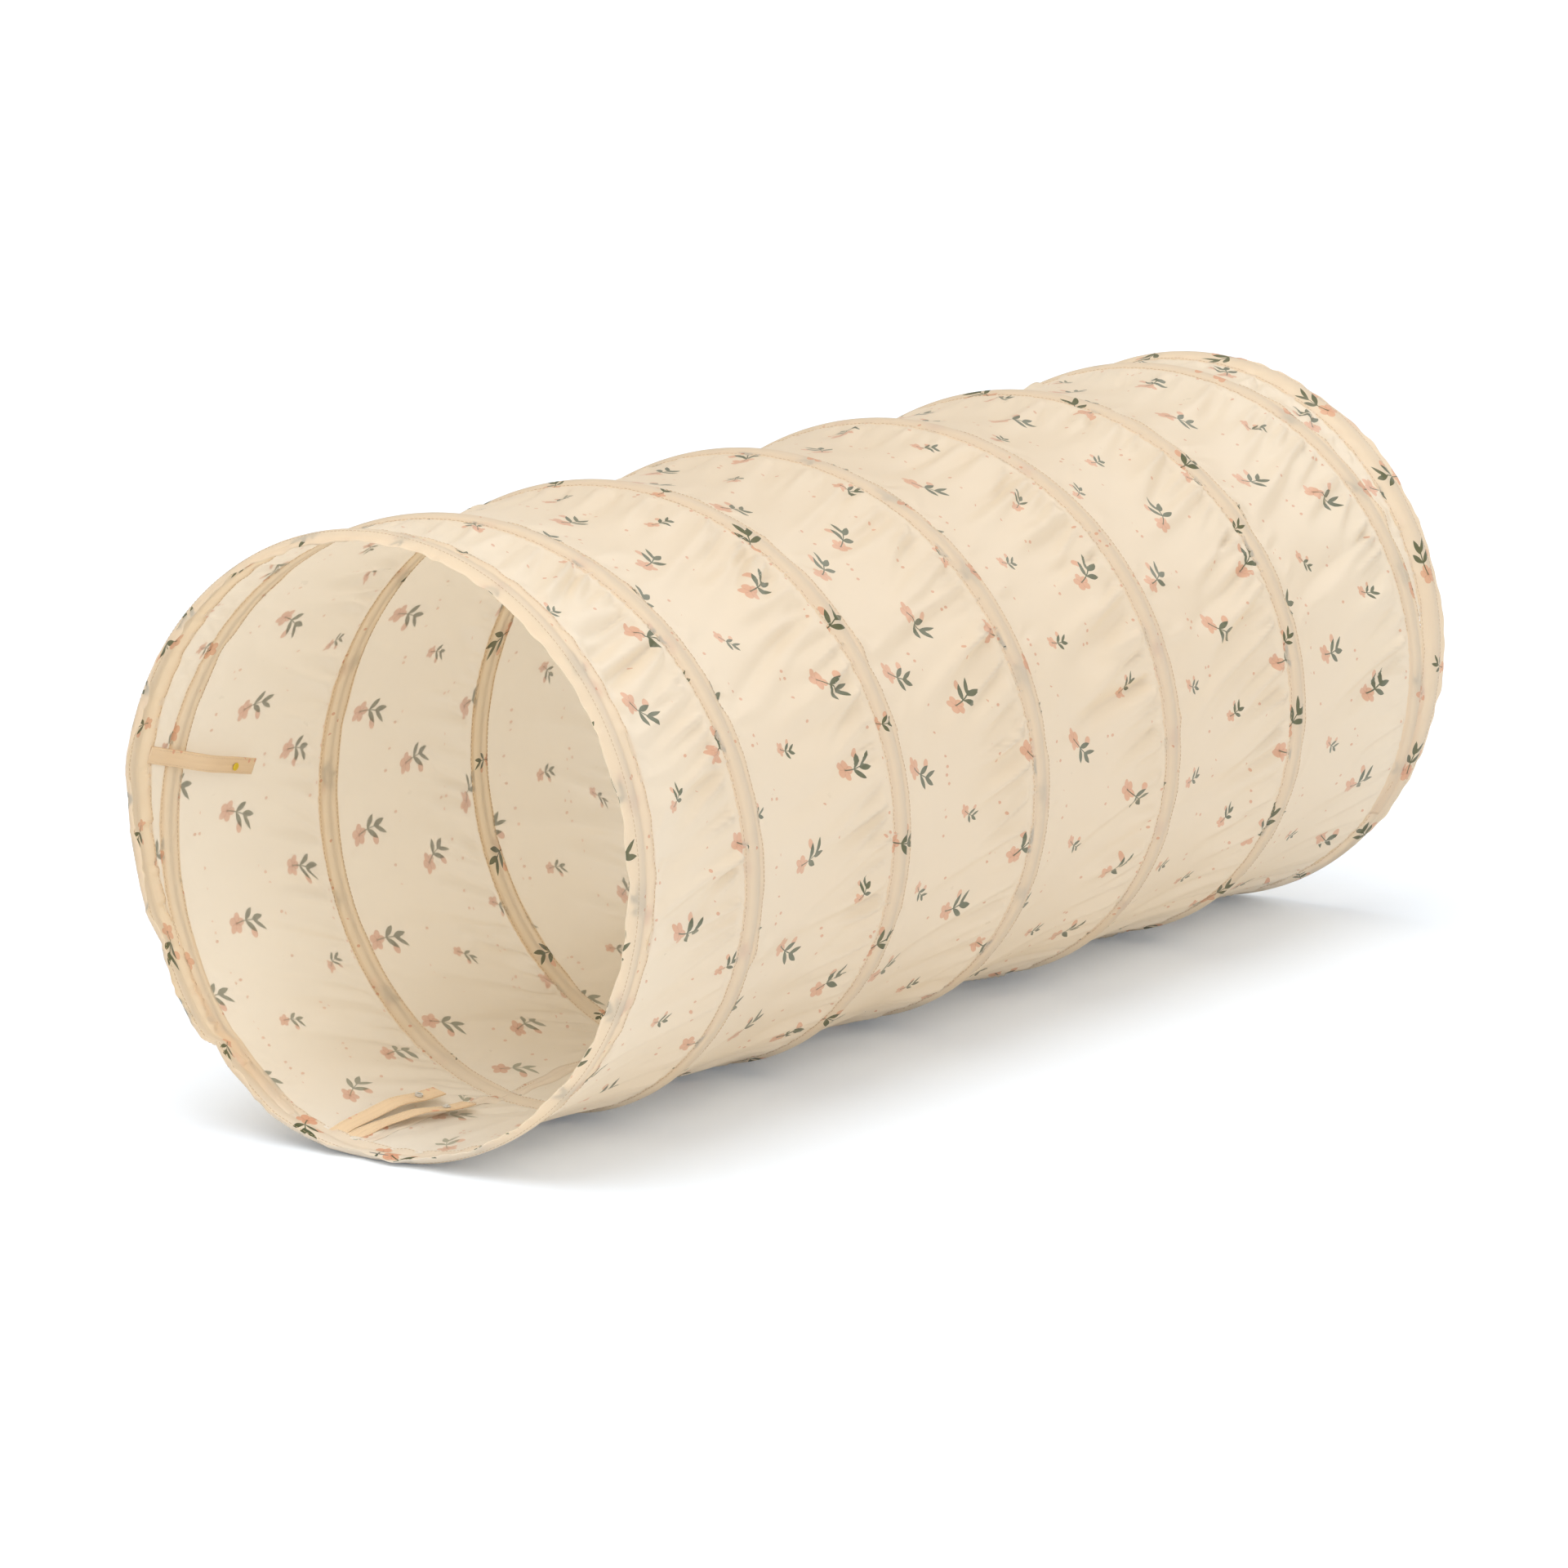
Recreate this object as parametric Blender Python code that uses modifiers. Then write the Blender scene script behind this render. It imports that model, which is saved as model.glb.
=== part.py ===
"""Kids play tunnel: a pop-up crawl tunnel of cloth on one long steel spring.

The tunnel lies on its side along Y, its near mouth at -Y, and rests on Z = 0.
One spring wire closes into a ring at each mouth and winds as a wide coil between
them. Cloth panels, one for each turn, fill the coil. They meet in a seam along the
floor, and sleeves sewn along the coil hold the wire. A hem holds each ring. Two pairs
of straps at the near mouth keep the folded tunnel shut with a press stud each.

Places along the coil are given in turns from where it leaves the near ring, clockwise
seen from the near mouth. Every hoop is a polygon of the same steps, so that its lowest
side is flat and all pieces keep their clearance to each other.
"""
import math

import bmesh
import bpy
from mathutils import Matrix, Vector

# Driving dimensions of the tunnel, in metres
HOOP_RADIUS = 0.240
COIL_PITCH = 0.205
WIRE_DIAMETER = 0.0025
BAND_THICKNESS = 0.0056
CLOTH_THICKNESS = 0.0008
PANEL_WAIST = 0.0070
SLEEVE_WIDTH = 0.025
SLEEVE_CREST_WIDTH = 0.0044
HEM_LIP = 0.018
HEM_BACK = 0.020
WEDGE_TIP_WIDTH = 0.0015

# Counts: a hoop's straight sides, and the coil's length in such sides
STEPS_PER_TURN = 24
COIL_STEPS = 141

# Clearances
CLOTH_GAP = 0.0003
WIRE_CLEARANCE = 0.00035
STRAND_GAP = 0.0004
CUT_OVERRUN = 0.004

# Crimp ferrules that join the wire's ends to the rings
FERRULE_LENGTH = 0.026
FERRULE_WALL = 0.0004
FERRULE_ROUNDING = 0.0008
CREST_WALL = 0.0008

# Straps
STRAP_LENGTH = 0.118
STRAP_WIDTH = 0.0135
STRAP_THICKNESS = 0.0016
STRAP_SEAT = 0.003
STRAP_SPACING = 0.0142
SNAP_PLACE_SHARE = 0.78
STRAP_SECTIONS = 12
STRAP_RISE_SHARE = 0.60
WALL_STRAP_CLEARANCE = 0.0042
FLOOR_STRAP_CLEARANCE = 0.0042
WALL_STRAP_FALL = math.radians(11.3)
FLOOR_STRAP_TWIST = math.radians(15)
FLOOR_STRAP_TWIST_SHARE = 0.30
FLOOR_STRAP_SPREAD = 0.0075
FLOOR_STRAP_DRIFT = -0.0150
WALL_STRAP_ASIDE = -0.0185
FLOOR_STRAP_ASIDE = -0.0125

# Press studs
SNAP_RADIUS = 0.0033
CAP_HEIGHT = 0.0009
CAP_ROUNDING = 0.0004
PIN_RADIUS = 0.0008
SOCKET_HEIGHT = 0.0016
SOCKET_BORE_RADIUS = 0.0019
STUD_BASE_HEIGHT = 0.0007
STUD_POST_RADIUS = 0.0015
STUD_POST_HEIGHT = 0.0012

# Sizes that follow
COIL_TURNS = COIL_STEPS / STEPS_PER_TURN
STEP = 1 / STEPS_PER_TURN
HALF_STEP_ANGLE = math.pi * STEP
COIL_LENGTH = COIL_PITCH * COIL_TURNS
WIRE_RADIUS = WIRE_DIAMETER / 2
BORE_RADIUS = WIRE_RADIUS + WIRE_CLEARANCE
RING_RISE = 2 * BORE_RADIUS + STRAND_GAP
BAND_RISE = BAND_THICKNESS / 2
SLEEVE_HALF = SLEEVE_WIDTH / 2
SLEEVE_CREST_HALF = SLEEVE_CREST_WIDTH / 2
AXIS_HEIGHT = (HOOP_RADIUS + BAND_RISE) * math.cos(HALF_STEP_ANGLE)
RING_Y = -COIL_LENGTH / 2
FERRULE_HALF_WIDTH = RING_RISE / 2 + BORE_RADIUS + FERRULE_WALL
HEM_CREST_HALF = FERRULE_HALF_WIDTH + CLOTH_GAP + CREST_WALL
HEM_CREST_BACK = HEM_CREST_HALF - RING_RISE / 2
HOOP_LENGTH = 2 * math.pi * HOOP_RADIUS
SEAM_TURN = CLOTH_GAP / 2 / HOOP_LENGTH
LAST_TURN = math.floor(COIL_TURNS)

# Where along the hoop things lie, in sides from the coil's start
FLOOR_STRAP_SIDE = 0
WALL_STRAP_SIDE = 6

CREAM = (0.83, 0.71, 0.55)
BAND_CREAM = (0.80, 0.66, 0.50)
STRAP_CREAM = (0.80, 0.63, 0.44)
STEEL = (0.42, 0.42, 0.43)
YELLOW = (0.80, 0.62, 0.05)
CLEAR_WHITE = (0.80, 0.78, 0.72)


def clear_scene():
    for thing in list(bpy.data.objects):
        bpy.data.objects.remove(thing, do_unlink=True)


def new_collection(name):
    collection = bpy.data.collections.new(name)
    bpy.context.scene.collection.children.link(collection)
    return collection


def new_material(name, colour, roughness, metallic=0.0):
    material = bpy.data.materials.new(name)
    material.use_nodes = True
    shader = material.node_tree.nodes["Principled BSDF"]
    shader.inputs["Base Color"].default_value = (*colour, 1.0)
    shader.inputs["Roughness"].default_value = roughness
    shader.inputs["Metallic"].default_value = metallic
    material.diffuse_color = (*colour, 1.0)
    return material


def cloth_material(name, colour=CREAM):
    return new_material(name + "_cloth", colour, 0.55)


def steel_material(name):
    return new_material(name + "_steel", STEEL, 0.35, 1.0)


def hoop_point(turns, y, radius=HOOP_RADIUS):
    """Point on the faceted hoop, between the two corners that it lies between."""
    steps = turns * STEPS_PER_TURN
    low = math.floor(steps)
    share = steps - low
    corners = []
    for corner in (low, low + 1):
        angle = HALF_STEP_ANGLE * (2 * corner + 1)
        corners.append(Vector((-math.sin(angle), 0.0, -math.cos(angle))))
    around = corners[0].lerp(corners[1], share) * radius
    return Vector((around.x, RING_Y + y, AXIS_HEIGHT + around.z))


def coil_y(turns):
    """How far the wire's middle lies behind the near ring."""
    if turns < 0:
        return RING_RISE * turns
    if turns > COIL_TURNS:
        return COIL_LENGTH + RING_RISE * (turns - COIL_TURNS)
    return COIL_PITCH * turns


def turn_stations(first, last):
    """The two ends and every corner of the hoop between them."""
    near = math.floor(first * STEPS_PER_TURN) + 1
    far = math.ceil(last * STEPS_PER_TURN)
    tiny = SEAM_TURN / 2
    between = [corner * STEP for corner in range(near, far)]
    between = [turns for turns in between if first + tiny < turns < last - tiny]
    return [first] + between + [last]


def mapped_grid(columns, rows, place):
    """A grid with one vertex for each column and row, each put where place says."""
    shape = bmesh.new()
    bmesh.ops.create_grid(shape, x_segments=len(columns) - 1, y_segments=len(rows) - 1,
                          size=1.0)
    for vertex in shape.verts:
        column = round((vertex.co.x + 1) / 2 * (len(columns) - 1))
        row = round((vertex.co.y + 1) / 2 * (len(rows) - 1))
        vertex.co = place(columns[column], rows[row])
    return shape


def finish_mesh(shape, name, collection, material):
    bmesh.ops.recalc_face_normals(shape, faces=shape.faces)
    mesh = bpy.data.meshes.new(name)
    shape.to_mesh(mesh)
    shape.free()
    made = bpy.data.objects.new(name, mesh)
    if material:
        made.data.materials.append(material)
    collection.objects.link(made)
    return made


def sheet(name, collection, material, columns, rows, place, thickness):
    """Cloth: an open grid surface, thickened evenly to both sides."""
    made = finish_mesh(mapped_grid(columns, rows, place), name, collection, material)
    solidify = made.modifiers.new("cloth_thickness", "SOLIDIFY")
    solidify.thickness = thickness
    solidify.offset = 0.0
    solidify.use_even_offset = True
    return made


def band(name, collection, material, stations, section, closed=False):
    """A solid strip along the hoop. section(turns) gives its corners as (y, outward)."""
    corners = len(section(stations[0]))
    rows = list(range(corners + 1))

    def place(turns, row):
        y, outward = section(turns)[row % corners]
        return hoop_point(turns, y, HOOP_RADIUS + outward)

    shape = mapped_grid(stations, rows, place)
    bmesh.ops.remove_doubles(shape, verts=shape.verts, dist=SEAM_TURN * HOOP_RADIUS)
    if not closed:
        bmesh.ops.holes_fill(shape, edges=shape.edges, sides=corners)
    return finish_mesh(shape, name, collection, material)


def mesh_from(source, collection, name):
    """A mesh object with the source's evaluated shape; the source is removed."""
    graph = bpy.context.evaluated_depsgraph_get()
    mesh = bpy.data.meshes.new_from_object(source.evaluated_get(graph))
    shape = bmesh.new()
    shape.from_mesh(mesh)
    bmesh.ops.remove_doubles(shape, verts=shape.verts, dist=WIRE_RADIUS / 100)
    bmesh.ops.recalc_face_normals(shape, faces=shape.faces)
    shape.to_mesh(mesh)
    shape.free()
    made = bpy.data.objects.new(name, mesh)
    made.matrix_world = source.matrix_world
    collection.objects.link(made)
    bpy.data.objects.remove(source, do_unlink=True)
    return made


def as_cutter(thing):
    thing.hide_render = True
    thing.display_type = "WIRE"
    return thing


def round_edges(made, width):
    rounding = made.modifiers.new("rounding", "BEVEL")
    rounding.width = width
    rounding.segments = 2


def cut(target, cutter):
    boolean = target.modifiers.new("cut_" + cutter.name, "BOOLEAN")
    boolean.operation = "DIFFERENCE"
    boolean.solver = "EXACT"
    boolean.object = cutter


def wire_points():
    """Corner points of the wire: lap, near ring, coil, far ring, lap."""
    first = -STEPS_PER_TURN - 1
    last = COIL_STEPS + STEPS_PER_TURN + 1
    return [hoop_point(step * STEP, coil_y(step * STEP)) for step in range(first, last + 1)]


def wire_curve(name, collection, radius):
    points = wire_points()
    curve = bpy.data.curves.new(name, "CURVE")
    curve.dimensions = "3D"
    spline = curve.splines.new("POLY")
    spline.points.add(len(points) - 1)
    for point, place in zip(spline.points, points):
        point.co = (*place, 1.0)
    curve.bevel_depth = radius
    curve.bevel_resolution = 1
    curve.use_fill_caps = True
    made = bpy.data.objects.new(name, curve)
    collection.objects.link(made)
    return made


def wire_least_gap():
    """Least clear distance between the wire's strands, on points along its sides."""
    corners = wire_points()
    fine = []
    for start, end in zip(corners, corners[1:]):
        fine += [start.lerp(end, share / 4) for share in range(4)]
    apart = 4 * STEPS_PER_TURN // 2
    least = min(
        (fine[near] - fine[far]).length
        for near in range(len(fine))
        for far in range(near + apart, min(near + 3 * apart, len(fine)))
    )
    return least - WIRE_DIAMETER


def make_spring_wire(parts):
    wire = wire_curve("spring_wire", parts, WIRE_RADIUS)
    wire.data.materials.append(steel_material("spring_wire"))
    print("spring wire: least gap to itself %.2f mm" % (wire_least_gap() * 1000))


def ring_frame(ring_turn, facing):
    """Middle of the lap at a ring: its place, tangent and inward direction."""
    middle = ring_turn - facing * (1 + STEP / 2)
    near = hoop_point(middle - STEP / 4, 0.0)
    far = hoop_point(middle + STEP / 4, 0.0)
    tangent = (far - near).normalized()
    along = Vector((0.0, 1.0, 0.0))
    inward = tangent.cross(along)
    ring_y = 0.0 if facing > 0 else COIL_LENGTH
    place = hoop_point(middle, ring_y - facing * RING_RISE / 2)
    return place, tangent, along, inward


def lap_block(name, collection, material, frame, length, half_width, half_height):
    """A block on the lap of a ring, its long side along the wire."""
    place, tangent, along, inward = frame
    turn = Matrix((tangent, along, inward)).transposed().to_4x4()
    shape = bmesh.new()
    bmesh.ops.create_cube(shape, size=1.0)
    bmesh.ops.scale(shape, vec=(length, 2 * half_width, 2 * half_height), verts=shape.verts)
    bmesh.ops.transform(shape, matrix=Matrix.Translation(place) @ turn, verts=shape.verts)
    return finish_mesh(shape, name, collection, material)


def make_ferrule(name, parts, ring_turn, facing, bore):
    ferrule = lap_block(name, parts, steel_material(name), ring_frame(ring_turn, facing),
                        FERRULE_LENGTH, FERRULE_HALF_WIDTH, BORE_RADIUS + FERRULE_WALL)
    round_edges(ferrule, FERRULE_ROUNDING)
    cut(ferrule, bore)


def sleeve_lower(turns):
    """The sleeve's edge towards the near mouth, kept clear of the hem's thick middle."""
    return max(coil_y(turns) - SLEEVE_HALF, HEM_CREST_BACK + 2 * CLOTH_GAP)


def sleeve_upper(turns):
    rear_limit = COIL_LENGTH - HEM_CREST_BACK - 2 * CLOTH_GAP
    return min(coil_y(turns) + SLEEVE_HALF, rear_limit)


def sleeve_section(turns):
    middle = coil_y(turns)
    return [
        (sleeve_lower(turns), 0.0),
        (middle - SLEEVE_CREST_HALF, BAND_RISE),
        (middle + SLEEVE_CREST_HALF, BAND_RISE),
        (sleeve_upper(turns), 0.0),
        (middle + SLEEVE_CREST_HALF, -BAND_RISE),
        (middle - SLEEVE_CREST_HALF, -BAND_RISE),
    ]


def make_sleeves(parts, bore):
    for turn in range(LAST_TURN + 1):
        first = turn + SEAM_TURN if turn else STEP
        last = turn + 1 - SEAM_TURN if turn < LAST_TURN else COIL_TURNS - STEP
        name = "sleeve_%d" % (turn + 1)
        sleeve = band(name, parts, cloth_material(name, BAND_CREAM),
                      turn_stations(first, last), sleeve_section)
        cut(sleeve, bore)


def make_hem(name, parts, cutters, facing, bore):
    """The folded hem round one ring. facing is 1 at the near mouth and -1 at the far one."""
    ring_turn = 0.0 if facing > 0 else COIL_TURNS
    ring_y = 0.0 if facing > 0 else COIL_LENGTH
    crest = ring_y - facing * RING_RISE / 2

    def section(turns):
        return [
            (ring_y - facing * HEM_LIP, 0.0),
            (crest - facing * HEM_CREST_HALF, BAND_RISE),
            (crest + facing * HEM_CREST_HALF, BAND_RISE),
            (ring_y + facing * HEM_BACK, 0.0),
            (crest + facing * HEM_CREST_HALF, -BAND_RISE),
            (crest - facing * HEM_CREST_HALF, -BAND_RISE),
        ]

    stations = [ring_turn + step * STEP for step in range(STEPS_PER_TURN + 1)]
    hem = band(name, parts, cloth_material(name, BAND_CREAM), stations, section, closed=True)

    def pocket_section(turns):
        """Room for the first stretch of sleeve, which starts inside the hem's width."""
        edge = sleeve_lower(turns) if facing > 0 else sleeve_upper(turns)
        edge -= facing * CLOTH_GAP
        outer = ring_y + facing * (HEM_BACK + CUT_OVERRUN)
        deep = BAND_RISE + CUT_OVERRUN
        return [(edge, deep), (outer, deep), (outer, -deep), (edge, -deep)]

    start = ring_turn + facing * (STEP - CLOTH_GAP / HOOP_LENGTH)
    end = ring_turn + facing * (HEM_BACK + SLEEVE_HALF + CUT_OVERRUN) / COIL_PITCH
    pocket = band(name + "_sleeve_pocket", cutters, None,
                  turn_stations(min(start, end), max(start, end)), pocket_section)
    room = lap_block(name + "_ferrule_pocket", cutters, None, ring_frame(ring_turn, facing),
                     FERRULE_LENGTH + 2 * CLOTH_GAP, FERRULE_HALF_WIDTH + CLOTH_GAP,
                     BORE_RADIUS + FERRULE_WALL + CLOTH_GAP)
    cut(hem, bore)
    cut(hem, as_cutter(room))
    cut(hem, as_cutter(pocket))


def panel_lower(turns):
    """turns is the place on the coil along the panel's far edge."""
    return max(COIL_PITCH * (turns - 1) + SLEEVE_HALF, HEM_BACK) + CLOTH_GAP


def panel_upper(turns):
    return min(COIL_PITCH * turns - SLEEVE_HALF, COIL_LENGTH - HEM_BACK) - CLOTH_GAP


def panel_place(turns, share):
    """Across its width the panel is drawn in towards its middle, as pulled cloth is."""
    lower = panel_lower(turns)
    upper = panel_upper(turns)
    full_width = COIL_PITCH - SLEEVE_WIDTH
    drawn_in = PANEL_WAIST * math.sin(math.pi * share) * min(1.0, (upper - lower) / full_width)
    return hoop_point(turns, lower + (upper - lower) * share, HOOP_RADIUS - drawn_in)


def make_panels(parts):
    tip = SLEEVE_HALF + HEM_BACK + 2 * CLOTH_GAP + WEDGE_TIP_WIDTH
    first_tip = tip / COIL_PITCH
    last_tip = 1 + (COIL_LENGTH - tip) / COIL_PITCH
    rows = [row / 4 for row in range(5)]
    for turn in range(math.ceil(last_tip)):
        first = max(first_tip, turn + SEAM_TURN)
        last = min(last_tip, turn + 1 - SEAM_TURN)
        name = "skin_panel_%d" % (turn + 1)
        sheet(name, parts, cloth_material(name), turn_stations(first, last), rows,
              panel_place, CLOTH_THICKNESS)


def strap_frame(side, aside, fall=0.0):
    """Root of a strap on the near hem's inner face, at one flat side of the hoop.

    It has the root's place and the directions along, across and inward.
    """
    middle = (side + 0.5) * STEP
    tangent = (hoop_point(middle + STEP / 4, 0.0) - hoop_point(middle - STEP / 4, 0.0)).normalized()
    axis = Vector((0.0, 1.0, 0.0))
    inward = axis.cross(tangent)
    seat_y = HEM_BACK - STRAP_SEAT
    hem_rise = BAND_RISE * STRAP_SEAT / (HEM_BACK - HEM_CREST_BACK)
    root = hoop_point(middle, seat_y) + tangent * aside + inward * (hem_rise + root_lift())
    along = axis * math.cos(fall) - tangent * math.sin(fall)
    return root, along, inward.cross(along), inward


def root_lift():
    """Height of a strap's hinge line over the hem, so that its end turns freely."""
    return CLOTH_GAP + STRAP_THICKNESS / math.sqrt(2)


def ease(share):
    share = min(1.0, max(0.0, share))
    return share * share * (3 - 2 * share)


def strap_rise(share, clearance):
    """The strap climbs over the panel's drawn-in middle."""
    return (PANEL_WAIST + clearance) * ease(share / STRAP_RISE_SHARE)


def snap_spacing():
    """Distance between the middles of two straps where their press stud is shut."""
    between = SOCKET_HEIGHT + STUD_BASE_HEIGHT + 3 * CLOTH_GAP
    return STRAP_THICKNESS + between


class Strap:
    """One strap: its frame, its middle line and the twist of its width."""

    def __init__(self, name, frame, clearance, lift=0.0, spread=0.0, twist=0.0, over=0.0):
        self.name = name
        self.root, self.along, self.across, self.inward = frame
        self.clearance = clearance
        self.lift = lift
        self.spread = spread
        self.twist = twist
        self.over = over

    def width_direction(self, share):
        angle = self.twist * ease(share / FLOOR_STRAP_TWIST_SHARE)
        return self.across * math.cos(angle) + self.inward * math.sin(angle)

    def face_direction(self, share):
        step = 1 / STRAP_SECTIONS
        heading = self.middle(share + step) - self.middle(share - step)
        return self.width_direction(share).cross(heading).normalized()

    def middle(self, share):
        edge_lift = abs(self.width_direction(share).dot(self.inward)) * STRAP_WIDTH / 2
        rise = strap_rise(share, self.clearance) + edge_lift + self.lift
        rise += (self.over - self.lift) * ease(share / SNAP_PLACE_SHARE)
        sideways = self.spread * ease(share)
        along = self.along * STRAP_LENGTH * share
        return self.root + along + self.across * sideways + self.inward * rise

    def place(self, share, side):
        return self.middle(share) + self.width_direction(share) * (STRAP_WIDTH / 2 * side)


def move_origin(made, place):
    made.data.transform(Matrix.Translation(-place))
    made.location = place


def disc(name, collection, material, centre, axis, radius, start, end, sides=20):
    """A round piece on a line through centre along axis, from start to end."""
    shape = bmesh.new()
    bmesh.ops.create_cone(shape, cap_ends=True, segments=sides, radius1=radius,
                          radius2=radius, depth=end - start)
    turn = axis.to_track_quat("Z", "Y").to_matrix().to_4x4()
    middle = centre + axis * ((start + end) / 2)
    bmesh.ops.transform(shape, matrix=Matrix.Translation(middle) @ turn, verts=shape.verts)
    made = finish_mesh(shape, name, collection, material)
    made.data.shade_smooth()
    made.data.set_sharp_from_angle(angle=math.radians(40))
    return made


def join(target, tool, cutters):
    """Union of the tool into the target; the tool is kept aside with the cutters."""
    boolean = target.modifiers.new("join_" + tool.name, "BOOLEAN")
    boolean.operation = "UNION"
    boolean.solver = "EXACT"
    boolean.object = tool
    as_cutter(tool)


def make_strap(parts, cutters, strap, snap_side, half):
    """A strap with its half of the press stud; snap_side is 1 or -1 along its face."""
    shares = [section / STRAP_SECTIONS for section in range(STRAP_SECTIONS + 1)]
    made = sheet(strap.name, parts, cloth_material(strap.name, STRAP_CREAM), shares,
                 (-1, 0, 1), strap.place, STRAP_THICKNESS)
    move_origin(made, strap.root)
    centre = strap.middle(SNAP_PLACE_SHARE)
    axis = strap.face_direction(SNAP_PLACE_SHARE) * snap_side
    face = STRAP_THICKNESS / 2
    hole = disc(strap.name + "_hole", cutters, None, centre, axis, PIN_RADIUS + CLOTH_GAP,
                -face - CUT_OVERRUN, face + CUT_OVERRUN)
    cut(made, as_cutter(hole))

    base = face + CLOTH_GAP
    cap_name = strap.name + "_stud_cap"
    cap = disc(cap_name, parts, new_material(cap_name, YELLOW, 0.3), centre, axis,
               SNAP_RADIUS, -base - CAP_HEIGHT, -base)
    round_edges(cap, CAP_ROUNDING)
    pin = disc(cap_name + "_pin", cutters, None, centre, axis, PIN_RADIUS,
               -base - CAP_HEIGHT / 2, face)
    join(cap, pin, cutters)
    if half == "socket":
        name = strap.name + "_stud_socket"
        socket = disc(name, parts, new_material(name, CLEAR_WHITE, 0.4), centre, axis,
                      SNAP_RADIUS, base, base + SOCKET_HEIGHT)
        bore = disc(name + "_bore", cutters, None, centre, axis, SOCKET_BORE_RADIUS,
                    base - CUT_OVERRUN, base + SOCKET_HEIGHT + CUT_OVERRUN)
        cut(socket, as_cutter(bore))
    else:
        name = strap.name + "_stud_post"
        stud = disc(name, parts, new_material(name, CLEAR_WHITE, 0.4), centre, axis,
                    SNAP_RADIUS, base, base + STUD_BASE_HEIGHT)
        post = disc(name + "_tip", cutters, None, centre, axis, STUD_POST_RADIUS,
                    base + STUD_BASE_HEIGHT / 2, base + STUD_BASE_HEIGHT + STUD_POST_HEIGHT)
        join(stud, post, cutters)


def make_wall_straps(parts, cutters):
    """The pair at the side of the mouth, shut by its press stud."""
    frame = strap_frame(WALL_STRAP_SIDE, WALL_STRAP_ASIDE, WALL_STRAP_FALL)
    outer = Strap("wall_strap_outer", frame, WALL_STRAP_CLEARANCE)
    apart = STRAP_THICKNESS + CLOTH_GAP
    inner = Strap("wall_strap_inner", frame, WALL_STRAP_CLEARANCE, lift=apart,
                  over=snap_spacing())
    towards_inner = 1 if outer.face_direction(1).dot(outer.inward) > 0 else -1
    make_strap(parts, cutters, outer, towards_inner, "socket")
    make_strap(parts, cutters, inner, -towards_inner, "post")


def make_floor_straps(parts, cutters):
    """The pair at the foot of the mouth, open, lying flat; the right one is level with the floor."""
    for name, sign, half, twist in (("floor_strap_left", 1, "socket", 0.0),
                                    ("floor_strap_right", -1, "post", FLOOR_STRAP_TWIST)):
        aside = FLOOR_STRAP_ASIDE + sign * STRAP_SPACING / 2
        frame = strap_frame(FLOOR_STRAP_SIDE, aside)
        outward = 1 if frame[2].dot(hoop_point(STEP, 0) - hoop_point(0, 0)) > 0 else -1
        spread = outward * (sign * FLOOR_STRAP_SPREAD + FLOOR_STRAP_DRIFT)
        strap = Strap(name, frame, FLOOR_STRAP_CLEARANCE, spread=spread, twist=-outward * twist)
        up = 1 if strap.face_direction(1).dot(strap.inward) > 0 else -1
        make_strap(parts, cutters, strap, up, half)


def main():
    clear_scene()
    parts = new_collection("kids_play_tunnel")
    cutters = new_collection("cutters")
    bore = mesh_from(wire_curve("bore_curve", cutters, BORE_RADIUS), cutters, "wire_bore")
    as_cutter(bore)
    make_spring_wire(parts)
    make_ferrule("front_ferrule", parts, 0.0, 1, bore)
    make_ferrule("rear_ferrule", parts, COIL_TURNS, -1, bore)
    make_hem("front_hem", parts, cutters, 1, bore)
    make_hem("rear_hem", parts, cutters, -1, bore)
    make_sleeves(parts, bore)
    make_panels(parts)
    make_wall_straps(parts, cutters)
    make_floor_straps(parts, cutters)


main()
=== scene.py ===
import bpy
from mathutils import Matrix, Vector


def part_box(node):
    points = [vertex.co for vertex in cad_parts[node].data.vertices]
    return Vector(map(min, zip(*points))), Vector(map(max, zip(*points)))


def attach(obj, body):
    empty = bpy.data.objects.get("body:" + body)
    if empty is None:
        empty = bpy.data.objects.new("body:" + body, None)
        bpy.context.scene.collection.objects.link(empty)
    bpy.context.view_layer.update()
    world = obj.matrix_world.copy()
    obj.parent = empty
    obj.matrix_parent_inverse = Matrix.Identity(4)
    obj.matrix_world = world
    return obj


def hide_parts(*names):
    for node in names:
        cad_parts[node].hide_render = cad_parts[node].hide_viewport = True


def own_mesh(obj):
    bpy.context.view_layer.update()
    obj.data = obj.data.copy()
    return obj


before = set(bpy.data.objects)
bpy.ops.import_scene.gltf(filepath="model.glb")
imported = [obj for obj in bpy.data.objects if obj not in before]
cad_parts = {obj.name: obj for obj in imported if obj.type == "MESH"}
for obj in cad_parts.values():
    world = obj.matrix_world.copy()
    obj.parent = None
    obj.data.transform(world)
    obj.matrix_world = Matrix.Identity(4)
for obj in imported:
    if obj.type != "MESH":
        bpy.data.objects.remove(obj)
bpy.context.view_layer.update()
print("frame loaded with", len(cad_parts), "nodes")

import math
import bpy
import numpy as np
from mathutils import Matrix, Vector

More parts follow.
